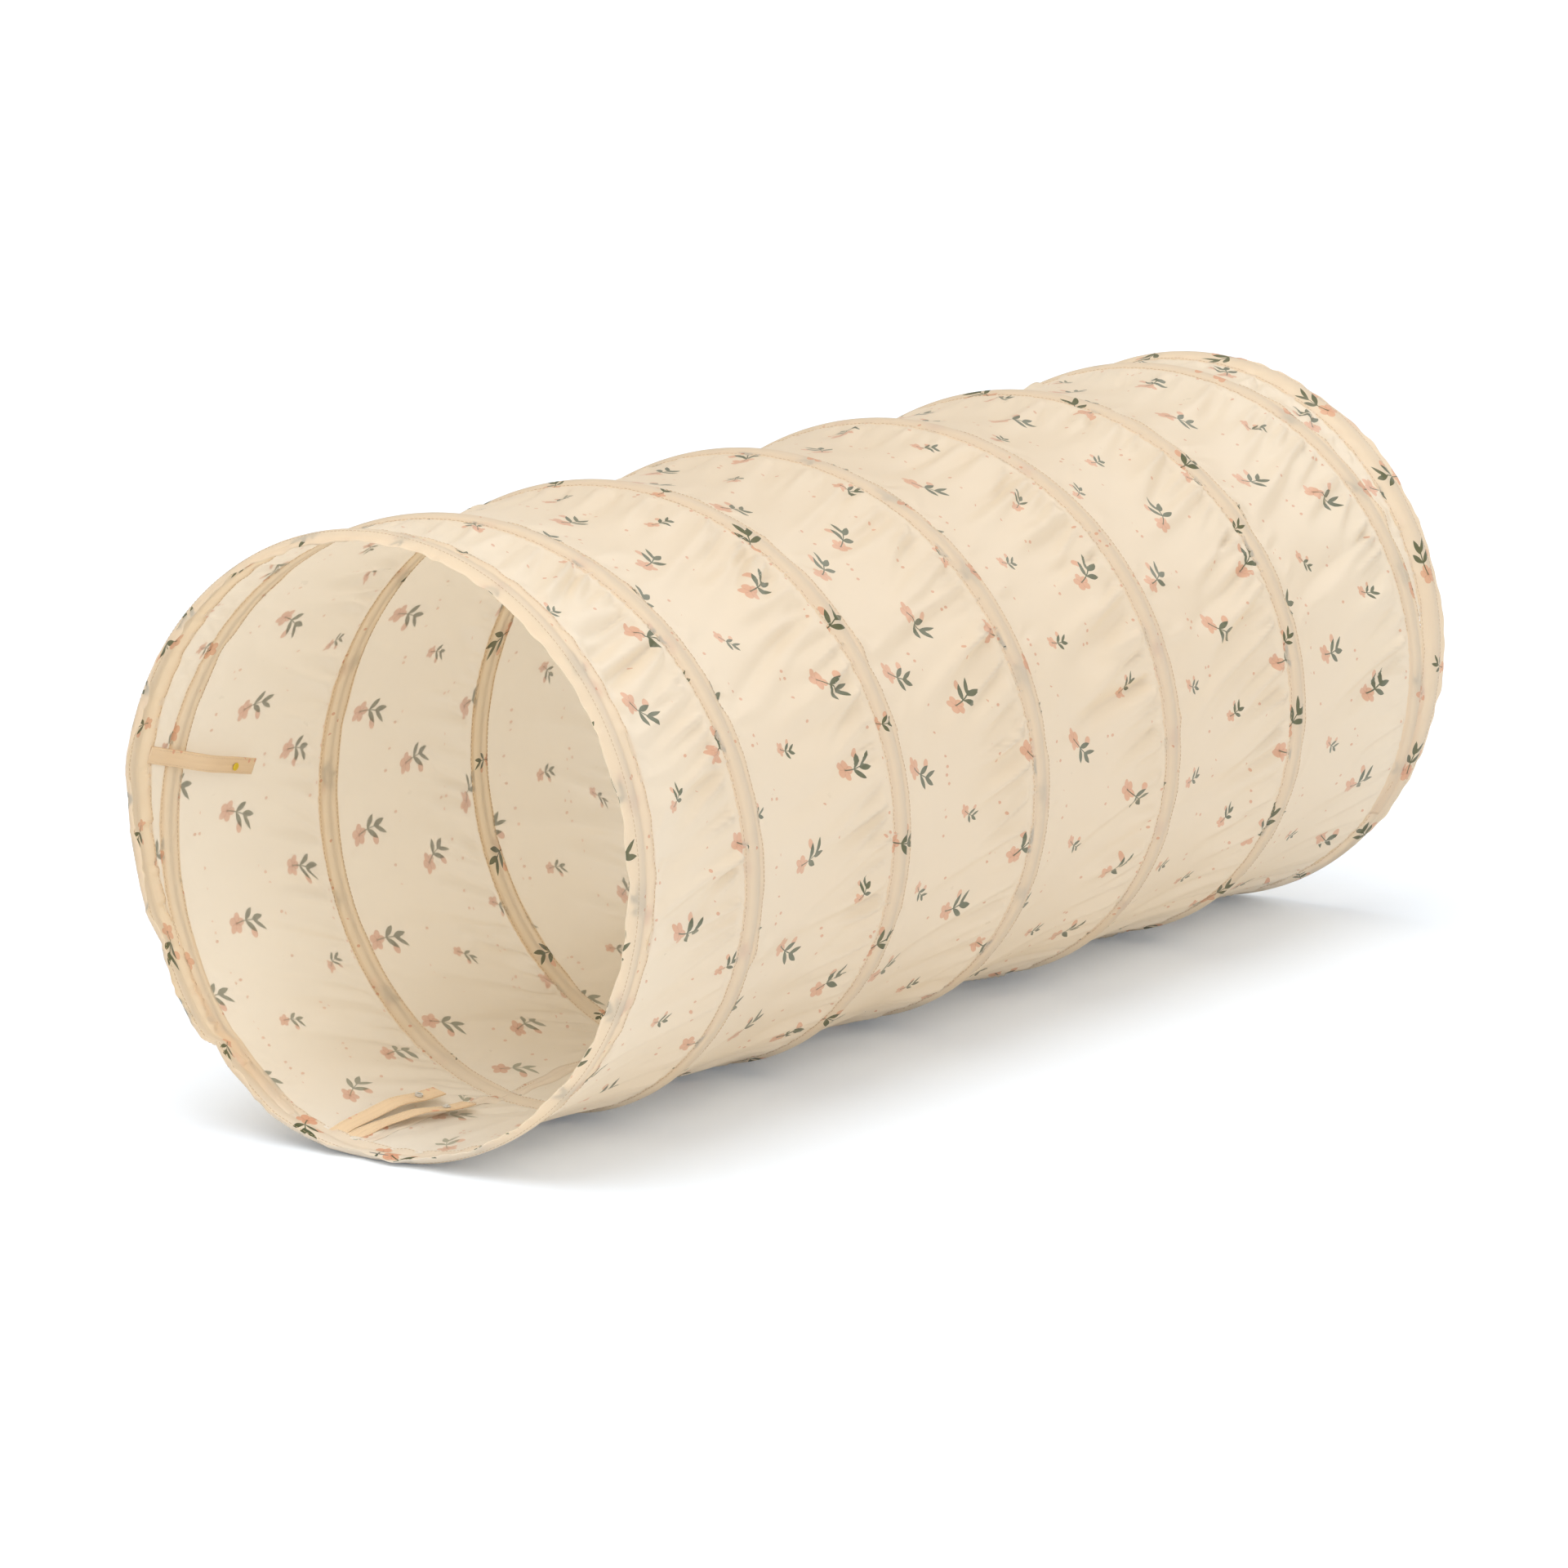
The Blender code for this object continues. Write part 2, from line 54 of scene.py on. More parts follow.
# The play tunnel lies along Y with its near mouth at -Y. Lengths are metres. Places along it are
# given in turns of the coil, clockwise seen from the near mouth, from where it leaves the near ring.
tunnel = {
    "hoopRadius": 0.240,
    "turns": 5.875,
    "sleeves": 6,                     # and one panel more
    "footAngle": math.radians(7.5),   # where turn 0 starts, from the lowest point
    "hemLip": 0.018,                  # hem in front of its ring
    "hemBack": 0.020,                 # hem behind its ring
    "floorSoftness": 0.0025,          # how softly the cloth flattens where it meets the floor
}
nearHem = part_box("front_hem")
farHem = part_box("rear_hem")
ringY = nearHem[0][1] + tunnel["hemLip"]
coilLength = farHem[1][1] - tunnel["hemLip"] - ringY
pitch = coilLength / tunnel["turns"]
axisHeight = (nearHem[0][2] + nearHem[1][2]) / 2
hoopLength = 2 * math.pi * tunnel["hoopRadius"]


def smooth(value):
    # 3v^2 - 2v^3 between 0 and 1
    value = np.clip(value, 0.0, 1.0)
    return value * value * (3 - 2 * value)


# Where the soft near mouth is pushed in at its lower left: degrees from the lowest point, metres
slump = {
    "degrees": (24, 32, 38, 42, 45, 48, 59.5, 62, 64.5, 70, 80, 93, 99),
    "inward": (0, .0047, .0062, .0100, .0040, .0040, .0090, .0090, .0120, .0080, .0073, .0040, 0),
    "backShare": 0.35,       # it goes back by this share of that
    "reach": 0.070,          # how far behind the ring it has died out
}


def slumpAt(angle, along):
    # Straight lines between the places in the table, times a fall with distance behind the ring
    degrees = np.degrees(np.mod(angle, 2 * math.pi))
    near = 1 - smooth((along + tunnel["hemLip"]) / slump["reach"])
    inward = np.interp(degrees, slump["degrees"], slump["inward"], left=0.0, right=0.0) * near
    return inward, inward * slump["backShare"]


def hoopAngle(turns):
    # Radians round the hoop from its lowest point
    return tunnel["footAngle"] + 2 * math.pi * turns


def tunnelPoint(turns, along, outward):
    # x = -r sin a, y = ring + along, z = axis height - r cos a, for r = hoop radius + outward.
    # z then goes through (z + sqrt(z^2 + w^2)) / 2, which rests it on the floor.
    turns, along, outward = np.broadcast_arrays(turns, along, outward)
    angle = hoopAngle(turns)
    inward, back = slumpAt(angle, along)
    radius = tunnel["hoopRadius"] + outward - inward
    z = axisHeight - radius * np.cos(angle)
    z = (z + np.sqrt(z * z + tunnel["floorSoftness"] ** 2)) / 2
    return np.stack([-radius * np.sin(angle), ringY + along + back, z], axis=-1)


def gridQuads(number):
    # A quad for each square of four neighbours in a table of point numbers
    corners = [number[:-1, :-1], number[1:, :-1], number[1:, 1:], number[:-1, 1:]]
    return np.stack(corners, axis=-1).reshape(-1, 4)


def signedVolume(points, quads, middle):
    # Below zero where the faces a, b, c, d point inwards: the sum of a . (b x c) + a . (c x d)
    a, b, c, d = (points[quads[:, corner]] - middle for corner in range(4))
    return np.sum(a * np.cross(b, c)) + np.sum(a * np.cross(c, d))


def tubeObject(name, points, uv, ring=False):
    # Rows of points along the piece, columns round it, joined in quads. The last column joins the
    # first, so the uv has one column more. A ring's last row joins its first in the same way, and
    # any other tube has a cap at each end. Faces point away from the axis.
    rows, columns = points.shape[:2]
    number = np.arange(rows * columns).reshape(rows, columns)
    number = np.concatenate([number, number[:, :1]], axis=1)
    if ring:
        number = np.concatenate([number, number[:1]], axis=0)
    quads, uvQuads = gridQuads(number), gridQuads(np.arange(number.size).reshape(number.shape))
    flat = points.reshape(-1, 3)
    turned = signedVolume(flat, quads, np.array([0.0, flat[:, 1].mean(), axisHeight])) < 0
    if turned:
        quads, uvQuads = quads[:, ::-1], uvQuads[:, ::-1]
    loops, uvLoops = quads.reshape(-1), uv.reshape(-1, 2)[uvQuads.reshape(-1)]
    starts = np.arange(0, loops.size, 4)
    if not ring:
        first, last = number[0, :columns], number[-1, :columns][::-1]
        if turned:
            first, last = first[::-1], last[::-1]
        starts = np.concatenate([starts, [loops.size, loops.size + columns]])
        loops = np.concatenate([loops, first, last])
        uvLoops = np.concatenate([uvLoops, np.zeros((2 * columns, 2))])
    return meshObject(name, flat, loops, starts, uvLoops)


def meshObject(name, vertices, loops, starts, uvLoops=None):
    # Loops holds the corner numbers of all faces in a row, and starts where each face begins in it
    mesh = bpy.data.meshes.new(name)
    mesh.vertices.add(len(vertices))
    mesh.vertices.foreach_set("co", np.ascontiguousarray(vertices, dtype=np.float32).ravel())
    mesh.loops.add(len(loops))
    mesh.loops.foreach_set("vertex_index", np.ascontiguousarray(loops, dtype=np.int32))
    mesh.polygons.add(len(starts))
    mesh.polygons.foreach_set("loop_start", np.ascontiguousarray(starts, dtype=np.int32))
    mesh.polygons.foreach_set("use_smooth", np.ones(len(starts), dtype=bool))
    if uvLoops is not None:
        layer = mesh.uv_layers.new(name="cloth")
        layer.data.foreach_set("uv", np.ascontiguousarray(uvLoops, dtype=np.float32).ravel())
    mesh.update(calc_edges=True)
    mesh.validate()
    made = bpy.data.objects.new(name, mesh)
    bpy.context.scene.collection.objects.link(made)
    return made


def shellObject(name, outer, inner, uv):
    # Two grids of the same size, outside and inside, joined all round by a strip of quads. The
    # attribute "inside" is 1 on the inner one.
    rows, columns = outer.shape[:2]
    number = np.arange(rows * columns).reshape(rows, columns)
    quads = gridQuads(number)
    ring = np.concatenate([number[0, :-1], number[:-1, -1], number[-1, :0:-1], number[:0:-1, 0]])
    ahead = np.roll(ring, -1)
    below = rows * columns
    rim = np.stack([ring, ahead, ahead + below, ring + below], axis=-1)
    quads = np.concatenate([quads, quads[:, ::-1] + below, rim])
    flat = np.concatenate([outer.reshape(-1, 3), inner.reshape(-1, 3)])
    if signedVolume(flat, quads, flat.mean(axis=0)) < 0:
        quads = quads[:, ::-1]
    loops = quads.reshape(-1)
    uvLoops = np.tile(uv.reshape(-1, 2), (2, 1))[loops]
    made = meshObject(name, flat, loops, np.arange(0, loops.size, 4), uvLoops)
    side = made.data.attributes.new("inside", "FLOAT", "POINT")
    side.data.foreach_set("value", np.repeat(np.array([0.0, 1.0], dtype=np.float32), rows * columns))
    return made


def clothUv(lengthwise, crosswise, offset):
    # Metres along and across the cloth, moved by an offset so that no two pieces print alike
    lengthwise, crosswise = np.broadcast_arrays(lengthwise, crosswise)
    return np.stack([lengthwise + offset[0], crosswise + offset[1]], axis=-1)


def finishPiece(piece, material, body, anchorAlong=None, node=None, slot=None):
    # Gives a piece its material and its body. One with an anchor gets its own copy of its mesh.
    piece.data.materials.append(material)
    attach(piece, body)
    if anchorAlong is not None:
        ringY + anchorAlong
        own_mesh(piece)
    if node:
        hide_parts(node)
    return piece


def bodyOfTurn(turn):
    # Turn k of the coil has body turn_k, and the cloth before the first and after the last goes with
    # the ends. Gives the body and a place along the tunnel for it.
    if turn < 1:
        return "front_end", tunnel["hemBack"]
    if turn > tunnel["sleeves"]:
        return "rear_end", coilLength - tunnel["hemBack"]
    return "turn_%d" % turn, (turn - 0.5) * pitch


class Wire:
    # One socket's output. Arithmetic on it adds Math nodes, add() makes any other node.
    def __init__(self, tree, socket=None):
        self.tree = tree
        self.socket = socket

    def add(self, kind, settings=None, inputs=None, output=0):
        node = self.tree.nodes.new(kind)
        for name, value in (settings or {}).items():
            setattr(node, name, value)
        for key, value in (inputs or {}).items():
            if isinstance(value, Wire):
                self.tree.links.new(value.socket, node.inputs[key])
            else:
                node.inputs[key].default_value = value
        return Wire(self.tree, node.outputs[output])

    def maths(self, operation, *values, clamp=False):
        return self.add("ShaderNodeMath", {"operation": operation, "use_clamp": clamp},
                        dict(enumerate(values)))

    def __add__(self, other): return self.maths("ADD", self, other)
    def __radd__(self, other): return self.maths("ADD", other, self)
    def __sub__(self, other): return self.maths("SUBTRACT", self, other)
    def __rsub__(self, other): return self.maths("SUBTRACT", other, self)
    def __mul__(self, other): return self.maths("MULTIPLY", self, other)
    def __rmul__(self, other): return self.maths("MULTIPLY", other, self)
    def __truediv__(self, other): return self.maths("DIVIDE", self, other)
    def __rtruediv__(self, other): return self.maths("DIVIDE", other, self)
    def __lt__(self, other): return self.maths("LESS_THAN", self, other)
    def __gt__(self, other): return self.maths("GREATER_THAN", self, other)
    def __abs__(self): return self.maths("ABSOLUTE", self)
    def __mod__(self, other): return self.maths("FLOORED_MODULO", self, other)

    def sin(self): return self.maths("SINE", self)
    def cos(self): return self.maths("COSINE", self)
    def floor(self): return self.maths("FLOOR", self)
    def round(self): return self.maths("ROUND", self)
    def most(self, other): return self.maths("MAXIMUM", self, other)
    def least(self, other): return self.maths("MINIMUM", self, other)

    def split(self):
        made = self.add("ShaderNodeSeparateXYZ", inputs={0: self})
        return [Wire(self.tree, socket) for socket in made.socket.node.outputs]

    def point(self, x, y, z=0.0):
        return self.add("ShaderNodeCombineXYZ", inputs={0: x, 1: y, 2: z})

    def noise(self, where, scale, detail=2.0, roughness=0.5):
        return self.add("ShaderNodeTexNoise", {"noise_dimensions": "3D"},
                        {"Vector": where, "Scale": scale, "Detail": detail, "Roughness": roughness})

    def chance(self, x, y, z):
        # Three numbers from 0 to 1, always the same ones for the same x, y, z
        return self.add("ShaderNodeTexWhiteNoise", {"noise_dimensions": "3D"},
                        {"Vector": self.point(x, y, z)}, output=1).split()

    def bump(self, height):
        # The height is in metres
        return self.add("ShaderNodeBump", inputs={"Height": height, "Distance": 1.0, "Strength": 1.0})

    def mixColour(self, factor, first, second):
        return self.add("ShaderNodeMix", {"data_type": "RGBA"}, {0: factor, 6: first, 7: second}, output=2)


def colour(red, green, blue):
    return (red, green, blue, 1.0)


def newMaterial(name):
    material = bpy.data.materials.new(name)
    material.use_nodes = True
    material.node_tree.nodes.clear()
    return material, Wire(material.node_tree)


def finishMaterial(start, shader):
    output = start.tree.nodes.new("ShaderNodeOutputMaterial")
    start.tree.links.new(shader.socket, output.inputs["Surface"])


# The print: blossom sprigs on a half-drop lattice, with groups of dots between them. Millimetres.
printed = {
    "cell": (88.0, 76.0),
    "jitter": (22.0, 16.0),
    "turned": 0.35,               # radians that a sprig is turned at least
    "turnedBySeed": 0.37,
    "swing": 1.7,                 # radians that it may turn further
    "scale": 1.16,
    "smallShare": 0.34,           # this share of the sprigs is smaller
    "smaller": 0.42,
    "smallLuck": (7.13, 3.31),    # how two random numbers are stirred into one for that
    "bend": 0.011,                # of the stem, with the square of the place along it
    # Each leaf: place on the stem, lean in radians, length, half width
    "leafPair": (0.5, 0.80, 12.5, 2.1),
    "leaves": ((8.0, 0.50, 12.5, 1.8), (7.0, -0.40, 13.0, 2.0)),
    "stem": (0.42, 2.0, 11.0),    # half width, place of its middle, half length
    "flowerBack": 8.5,            # from the sprig's middle to the flower
    "petals": 5,
    "petalRadius": (5.0, 2.6),    # between the petals, and how much further they reach
    "petalLine": (0.20, 4.4),     # width and length of the lines between them
    "heart": 1.35,
    "bud": (6.5, 9.5, 0.55, 8.0),   # place along and beside the stem, flatness, radius squared
    "dotGroup": (1.6, 190.0),     # flatness, radius squared
    "dotCell": 8.0,
    "dotMove": 3.6,
    "dotShare": 0.42,
    "dotShape": (0.45, 1.7),      # flatness, radius squared
    "dotSeed": 11.0,
    "petal": colour(0.76, 0.40, 0.255),
    "petalDeep": colour(0.60, 0.25, 0.15),
    "leaf": colour(0.045, 0.072, 0.022),
    "leafInside": colour(0.185, 0.225, 0.125),
    "dot": colour(0.72, 0.37, 0.235),
    "worn": 0.34,                 # how much fainter it is on the inner side
}


def leafMask(p, q, start, lean, length, halfWidth):
    # A pointed leaf from the stem: |w| under 4 h t (1 - t) for t along it and w across it
    c, s = math.cos(lean), math.sin(lean)
    shifted = p - start
    t = (shifted * c + q * s) / length
    w = abs(q * c - shifted * s)
    return w < t * (1 - t) * (4 * halfWidth)


def ovalMask(p, q, flatness, radiusSquared):
    # Inside p^2 + flatness * q^2 = radius^2
    return p * p + q * q * flatness < radiusSquared


def printMasks(start, uv, seed):
    # Gives four masks: petals, the lines between them, leaves, and dots
    u, v, _ = uv.split()
    u, v = u * 1000.0, v * 1000.0
    wide, high = printed["cell"]
    row = (v / high).floor()
    shifted = u + (row % 2.0) * (wide / 2)
    column = (shifted / wide).floor()
    first, second, third = start.chance(column, row, seed)
    p = shifted - (column + 0.5) * wide - (first - 0.5) * printed["jitter"][0]
    q = v - (row + 0.5) * high - (second - 0.5) * printed["jitter"][1]
    turn = third * printed["swing"] + (seed * printed["turnedBySeed"] + printed["turned"])
    c, s = turn.cos(), turn.sin()
    luck = (first * printed["smallLuck"][0] + second * printed["smallLuck"][1]) % 1.0
    size = printed["scale"] - (luck < printed["smallShare"]) * printed["smaller"]
    p, q = (p * c + q * s) / size, (q * c - p * s) / size
    q = q - p * p * printed["bend"]
    side = abs(q)
    leaves = leafMask(p, side, *printed["leafPair"])
    for leaf in printed["leaves"]:
        leaves = leaves.most(leafMask(p, q, *leaf))
    halfWidth, middle, halfLength = printed["stem"]
    leaves = leaves.most((side < halfWidth) * (abs(p - middle) < halfLength))
    # the flower is drawn round its own middle
    flowerP = p + printed["flowerBack"]
    reach = start.maths("SQRT", flowerP * flowerP + q * q)
    angle = start.maths("ARCTAN2", q, flowerP)
    lobes = abs((angle * (printed["petals"] / 2)).cos())
    petals = reach < lobes * printed["petalRadius"][1] + printed["petalRadius"][0]
    lines = (lobes < printed["petalLine"][0]) * (reach < printed["petalLine"][1])
    lines = lines.most(reach < printed["heart"]) * petals
    budP, budQ, flatness, radiusSquared = printed["bud"]
    petals = petals.most(ovalMask(p - budP, q - budQ, flatness, radiusSquared))
    # dots lie about the corners of the lattice
    cornerP = shifted - (shifted / wide).round() * wide
    cornerQ = v - (v / high).round() * high
    grain = printed["dotCell"]
    dotColumn, dotRow = (shifted / grain).floor(), (v / grain).floor()
    moveP, moveQ, here = start.chance(dotColumn, dotRow, seed + printed["dotSeed"])
    dotP = shifted - (dotColumn + 0.5) * grain - (moveP - 0.5) * printed["dotMove"]
    dotQ = v - (dotRow + 0.5) * grain - (moveQ - 0.5) * printed["dotMove"]
    dots = ovalMask(dotP, dotQ, *printed["dotShape"]) * ovalMask(cornerP, cornerQ, *printed["dotGroup"])
    return petals, lines, leaves, dots * (here < printed["dotShare"])


# The cloth's surface. Each noise is its scale, detail and roughness.
clothDetail = {
    "clouds": (9.0, 3.0, 0.5),    # slow changes of tone
    "crinkle": (70.0, 4.0, 0.55), "crinkleAcross": 0.55,
    "dents": (24.0, 2.0, 0.5), "dentsAcross": 0.7,
    "weaveHeight": 0.00001,
    "glossSpread": 0.12,
    "sheen": 0.06, "sheenRoughness": 0.45,
    "ink": (0.72, 0.42, 0.40),    # light that leaves, petals and dots keep back
    "inkMost": 0.8,
    "floorShade": (14.0, 0.30),   # share that gets through = 14 * height + 0.30, up to 1
}


def printedCloth(name, look, seed):
    # Cream coated cloth. Its print, crinkles and weave follow the piece's own uv, in metres.
    material, start = newMaterial(name)
    uv = start.add("ShaderNodeUVMap", {"uv_map": "cloth"})
    position = start.add("ShaderNodeTexCoord", output=3)
    petals, lines, leaves, dots = printMasks(start, uv, seed)
    clouds = start.noise(position, *clothDetail["clouds"])
    tone = start.mixColour(clouds, colour(*look["dark"]), colour(*look["light"]))
    inside = start.add("ShaderNodeAttribute", {"attribute_name": "inside"}, output=2)
    tone = start.mixColour(inside, tone, colour(*look["backing"]))
    leaf = start.mixColour(inside, printed["leaf"], printed["leafInside"])
    strength = 1.0 - inside * printed["worn"]
    for mask, ink in ((dots, printed["dot"]), (petals, printed["petal"]),
                      (lines, printed["petalDeep"]), (leaves, leaf)):
        tone = start.mixColour(mask * strength, tone, ink)
    u, v, _ = uv.split()
    thread = 2 * math.pi / look["weavePitch"]
    weave = (u * thread).sin() * (v * thread).sin()
    crinkle = start.noise(start.point(u, v * clothDetail["crinkleAcross"]), *clothDetail["crinkle"])
    dents = start.noise(start.point(u, v * clothDetail["dentsAcross"], seed), *clothDetail["dents"])
    height = weave * clothDetail["weaveHeight"] + crinkle * look["crinkle"] + dents * look["dents"]
    bump = start.bump(height)
    body = start.add("ShaderNodeBsdfPrincipled", inputs={
        "Base Color": tone, "Normal": bump,
        "Roughness": look["roughness"] + (crinkle - 0.5) * clothDetail["glossSpread"],
        "Specular IOR Level": look["specular"],
        "Sheen Weight": clothDetail["sheen"], "Sheen Roughness": clothDetail["sheenRoughness"]})
    if look["letsThrough"]:
        # ink on the outer side lets less light through
        leafInk, petalInk, dotInk = clothDetail["ink"]
        ink = leaves * leafInk + petals * petalInk + dots * dotInk
        share = look["letsThrough"] * (1.0 - ink.least(clothDetail["inkMost"]) * (1.0 - inside))
        # where it lies against the floor, what gets through comes straight back
        above = position.split()[2]
        share = share * start.maths("MULTIPLY_ADD", above, *clothDetail["floorShade"], clamp=True)
        through = start.add("ShaderNodeBsdfTranslucent",
                            inputs={"Color": colour(*look["through"]), "Normal": bump})
        body = start.add("ShaderNodeMixShader", inputs={0: share, 1: body, 2: through})
    finishMaterial(start, body)
    return material


skinLook = {
    "dark": (0.930, 0.825, 0.690), "light": (0.955, 0.865, 0.740), "backing": (0.970, 0.920, 0.820),
    "weavePitch": 0.00055, "crinkle": 0.00024, "dents": 0.0006, "roughness": 0.30, "specular": 0.90,
    "letsThrough": 0.62, "through": (0.990, 0.930, 0.830),
}
bandLook = {
    "dark": (0.925, 0.815, 0.665), "light": (0.95, 0.855, 0.72), "backing": (0.95, 0.855, 0.72),
    "weavePitch": 0.00055, "crinkle": 0.00028, "dents": 0.0008, "roughness": 0.40, "specular": 0.60,
    "letsThrough": 0.56, "through": (0.995, 0.88, 0.70),
}
hemLook = dict(bandLook, dents=0.0012)
# The straps' cloth is the panels' cream; its darker tan here is painted shade, the shade that the straps
# lie in inside the tunnel.
strapShadedLook = dict(bandLook, dark=(0.765, 0.565, 0.36), light=(0.81, 0.625, 0.415), letsThrough=0.0)
threadLook = {"twistPitch": 0.0007, "ridge": 0.00004, "patches": 300.0, "roughness": 0.6, "specular": 0.3,
              "dark": (0.62, 0.46, 0.30), "light": (0.76, 0.60, 0.43)}
plasticLook = {"flow": (260.0, 3.0), "ripple": 0.00006, "glossSpread": 0.15, "refraction": 1.49}
steelLook = {"patches": (60.0, 4.0), "groove": 0.00003, "roughness": 0.26, "oiled": 0.2,
             "dark": (0.30, 0.30, 0.31), "light": (0.52, 0.52, 0.53)}


def threadMaterial():
    # Sewing thread, with the twist of its plies as fine slanting ridges
    material, start = newMaterial("sewing_thread")
    position = start.add("ShaderNodeTexCoord", output=3)
    x, y, z = position.split()
    twist = ((x + y + z) * (2 * math.pi / threadLook["twistPitch"])).sin()
    patches = start.noise(position, threadLook["patches"])
    finishMaterial(start, start.add("ShaderNodeBsdfPrincipled", inputs={
        "Base Color": start.mixColour(patches, colour(*threadLook["dark"]), colour(*threadLook["light"])),
        "Roughness": threadLook["roughness"], "Normal": start.bump(twist * threadLook["ridge"]),
        "Specular IOR Level": threadLook["specular"]}))
    return material


def plasticMaterial(name, tone, deep, roughness, seeThrough=0.0):
    # Moulded plastic: a faint flow pattern in its colour and a slightly uneven gloss
    material, start = newMaterial(name)
    flow = start.noise(start.add("ShaderNodeTexCoord", output=3), *plasticLook["flow"])
    finishMaterial(start, start.add("ShaderNodeBsdfPrincipled", inputs={
        "Base Color": start.mixColour(flow, colour(*tone), colour(*deep)),
        "Roughness": roughness + (flow - 0.5) * plasticLook["glossSpread"],
        "Normal": start.bump(flow * plasticLook["ripple"]),
        "Transmission Weight": seeThrough, "IOR": plasticLook["refraction"]}))
    return material


def steelMaterial(name, drawn):
    # Spring steel: a cool grey with a fine drawn grain and darker oiled patches
    material, start = newMaterial(name)
    position = start.add("ShaderNodeTexCoord", output=3)
    patches = start.noise(position, *steelLook["patches"])
    grain = start.noise(position, drawn)
    finishMaterial(start, start.add("ShaderNodeBsdfPrincipled", inputs={
        "Base Color": start.mixColour(patches, colour(*steelLook["dark"]), colour(*steelLook["light"])),
        "Metallic": 1.0, "Roughness": steelLook["roughness"] + patches * steelLook["oiled"],
        "Normal": start.bump(grain * steelLook["groove"])}))
    return material


threadFinish = threadMaterial()
wireSteel = steelMaterial("spring_steel_wire", 1500.0)
ferruleSteel = steelMaterial("crimped_steel", 700.0)
yellowPlastic = plasticMaterial("yellow_stud_plastic", (0.74, 0.56, 0.03), (0.66, 0.47, 0.02), 0.32)
skinCloth = printedCloth("skin_cloth", skinLook, 1.0)
bandCloth = printedCloth("band_cloth", bandLook, 2.0)
hemCloth = printedCloth("hem_cloth", hemLook, 3.0)
# The straps' cloth, with painted shade in its darker tan
strapShadedCloth = printedCloth("strap_cloth", strapShadedLook, 4.0)
clearPlastic = plasticMaterial("milky_stud_plastic", (0.82, 0.80, 0.74), (0.74, 0.72, 0.66), 0.35, 0.25)
print("materials made")

# The cloth's own creases, as functions of the place along the coil and across the panel
creases = {
    "waist": 0.0076,           # how far the pulled cloth draws in between two hoops
    "rounds": 8,               # turns that the tables cover
    # Each kind: spacing round the hoop, length, half width, height, slant, share of it left at the seam
    "farKinds": (
        (0.0085, (0.009, 0.026), (0.0019, 0.0032), (0.0007, 0.0018), (0.10, 0.60), 0.50),
        (0.0200, (0.045, 0.115), (0.0034, 0.0060), (0.0020, 0.0050), (0.18, 0.46), 0.12),
        (0.0360, (0.100, 0.220), (0.0062, 0.0110), (0.0030, 0.0070), (0.18, 0.40), 0.06)),
    "nearKinds": (
        (0.0130, (0.008, 0.028), (0.0022, 0.0038), (0.0004, 0.0012), (-0.25, 0.45), 0.45),
        (0.0500, (0.030, 0.080), (0.0050, 0.0090), (0.0009, 0.0020), (0.10, 0.45), 0.08)),
    "unevenness": (0.45, 1.55),
    "signs": (1.0, 1.0, -0.8),   # two in three stand out and the third is pressed in
    "bends": (-0.7, 0.7),
    "bend": 3,
    "hollow": (0.5, 1.9, 1.3),   # beside each: depth, distance and width, as shares of its own
    "widening": (0.55, 0.8),     # its width at the seam, and how much it gains
    "sewn": 0.010,               # it has risen this far from the seam
    "fadeFrom": 0.3,             # share of its length
    "reach": 0.114,              # further than this round the hoop, none is felt
    # how strong they are at so many degrees from the lowest point
    "degrees": (0, 20, 70, 120, 165, 190, 212, 232, 262, 285, 315, 345, 360),
    "strength": (0.60, 0.55, 0.45, 0.45, 0.45, 0.60, 0.95, 1.10, 1.00, 0.75, 0.55, 0.60, 0.60),
    "swellHeight": 0.0014,
    "swells": ((71, 23, 0), (47, -31, 2), (113, 9, 0)),   # radians a metre round and across, start
    "swellEdge": 0.04,
    "usualWidth": 0.15,          # of a panel, between its sewn edges
    "blockRows": 16,             # worked out at a time
}


def creaseTable(kinds, seed):
    # One row for each crease: place round the hoop, length, half width, height, slant, bend, seam share
    draw = np.random.default_rng(seed)
    rows = []
    for every, lengths, widths, heights, slants, seam in kinds:
        count = int(hoopLength * creases["rounds"] / every)
        places = np.cumsum(draw.uniform(*creases["unevenness"], count)) * every - hoopLength * 0.5
        height = draw.uniform(*heights, count) * draw.choice(creases["signs"], count)
        rows.append(np.stack([places, draw.uniform(*lengths, count), draw.uniform(*widths, count), height,
                              draw.uniform(*slants, count), draw.uniform(*creases["bends"], count),
                              np.full(count, seam)], axis=-1))
    return np.concatenate(rows)


farCreases = creaseTable(creases["farKinds"], 21)
nearCreases = creaseTable(creases["nearKinds"], 22)


def creaseSum(table, around, away, direction):
    # Each crease is a ridge exp(-(d/w)^2) with a hollow beside it, for d the distance from its slanting
    # line. It is pointed at the seam, widens as it goes and dies out at its length.
    first, last = around.min() - creases["reach"], around.max() + creases["reach"]
    within = table[(table[:, 0] > first) & (table[:, 0] < last)]
    place, length, width, height, slant, bend, seam = within.T
    around, away = around[..., None], away[..., None]
    share = away / length
    d = around - place - direction * slant * away - bend * width * share * share * creases["bend"]
    atSeam, gained = creases["widening"]
    w = width * (atSeam + gained * np.minimum(share, 1.0))
    deep, beside, broad = creases["hollow"]
    ridge = np.exp(-(d / w) ** 2) - deep * np.exp(-((d - beside * w) / (broad * w)) ** 2)
    start = seam + (1 - seam) * smooth(away / creases["sewn"])
    fade = 1 - smooth((share - creases["fadeFrom"]) / (1 - creases["fadeFrom"]))
    return np.sum(ridge * height * start * fade, axis=-1)


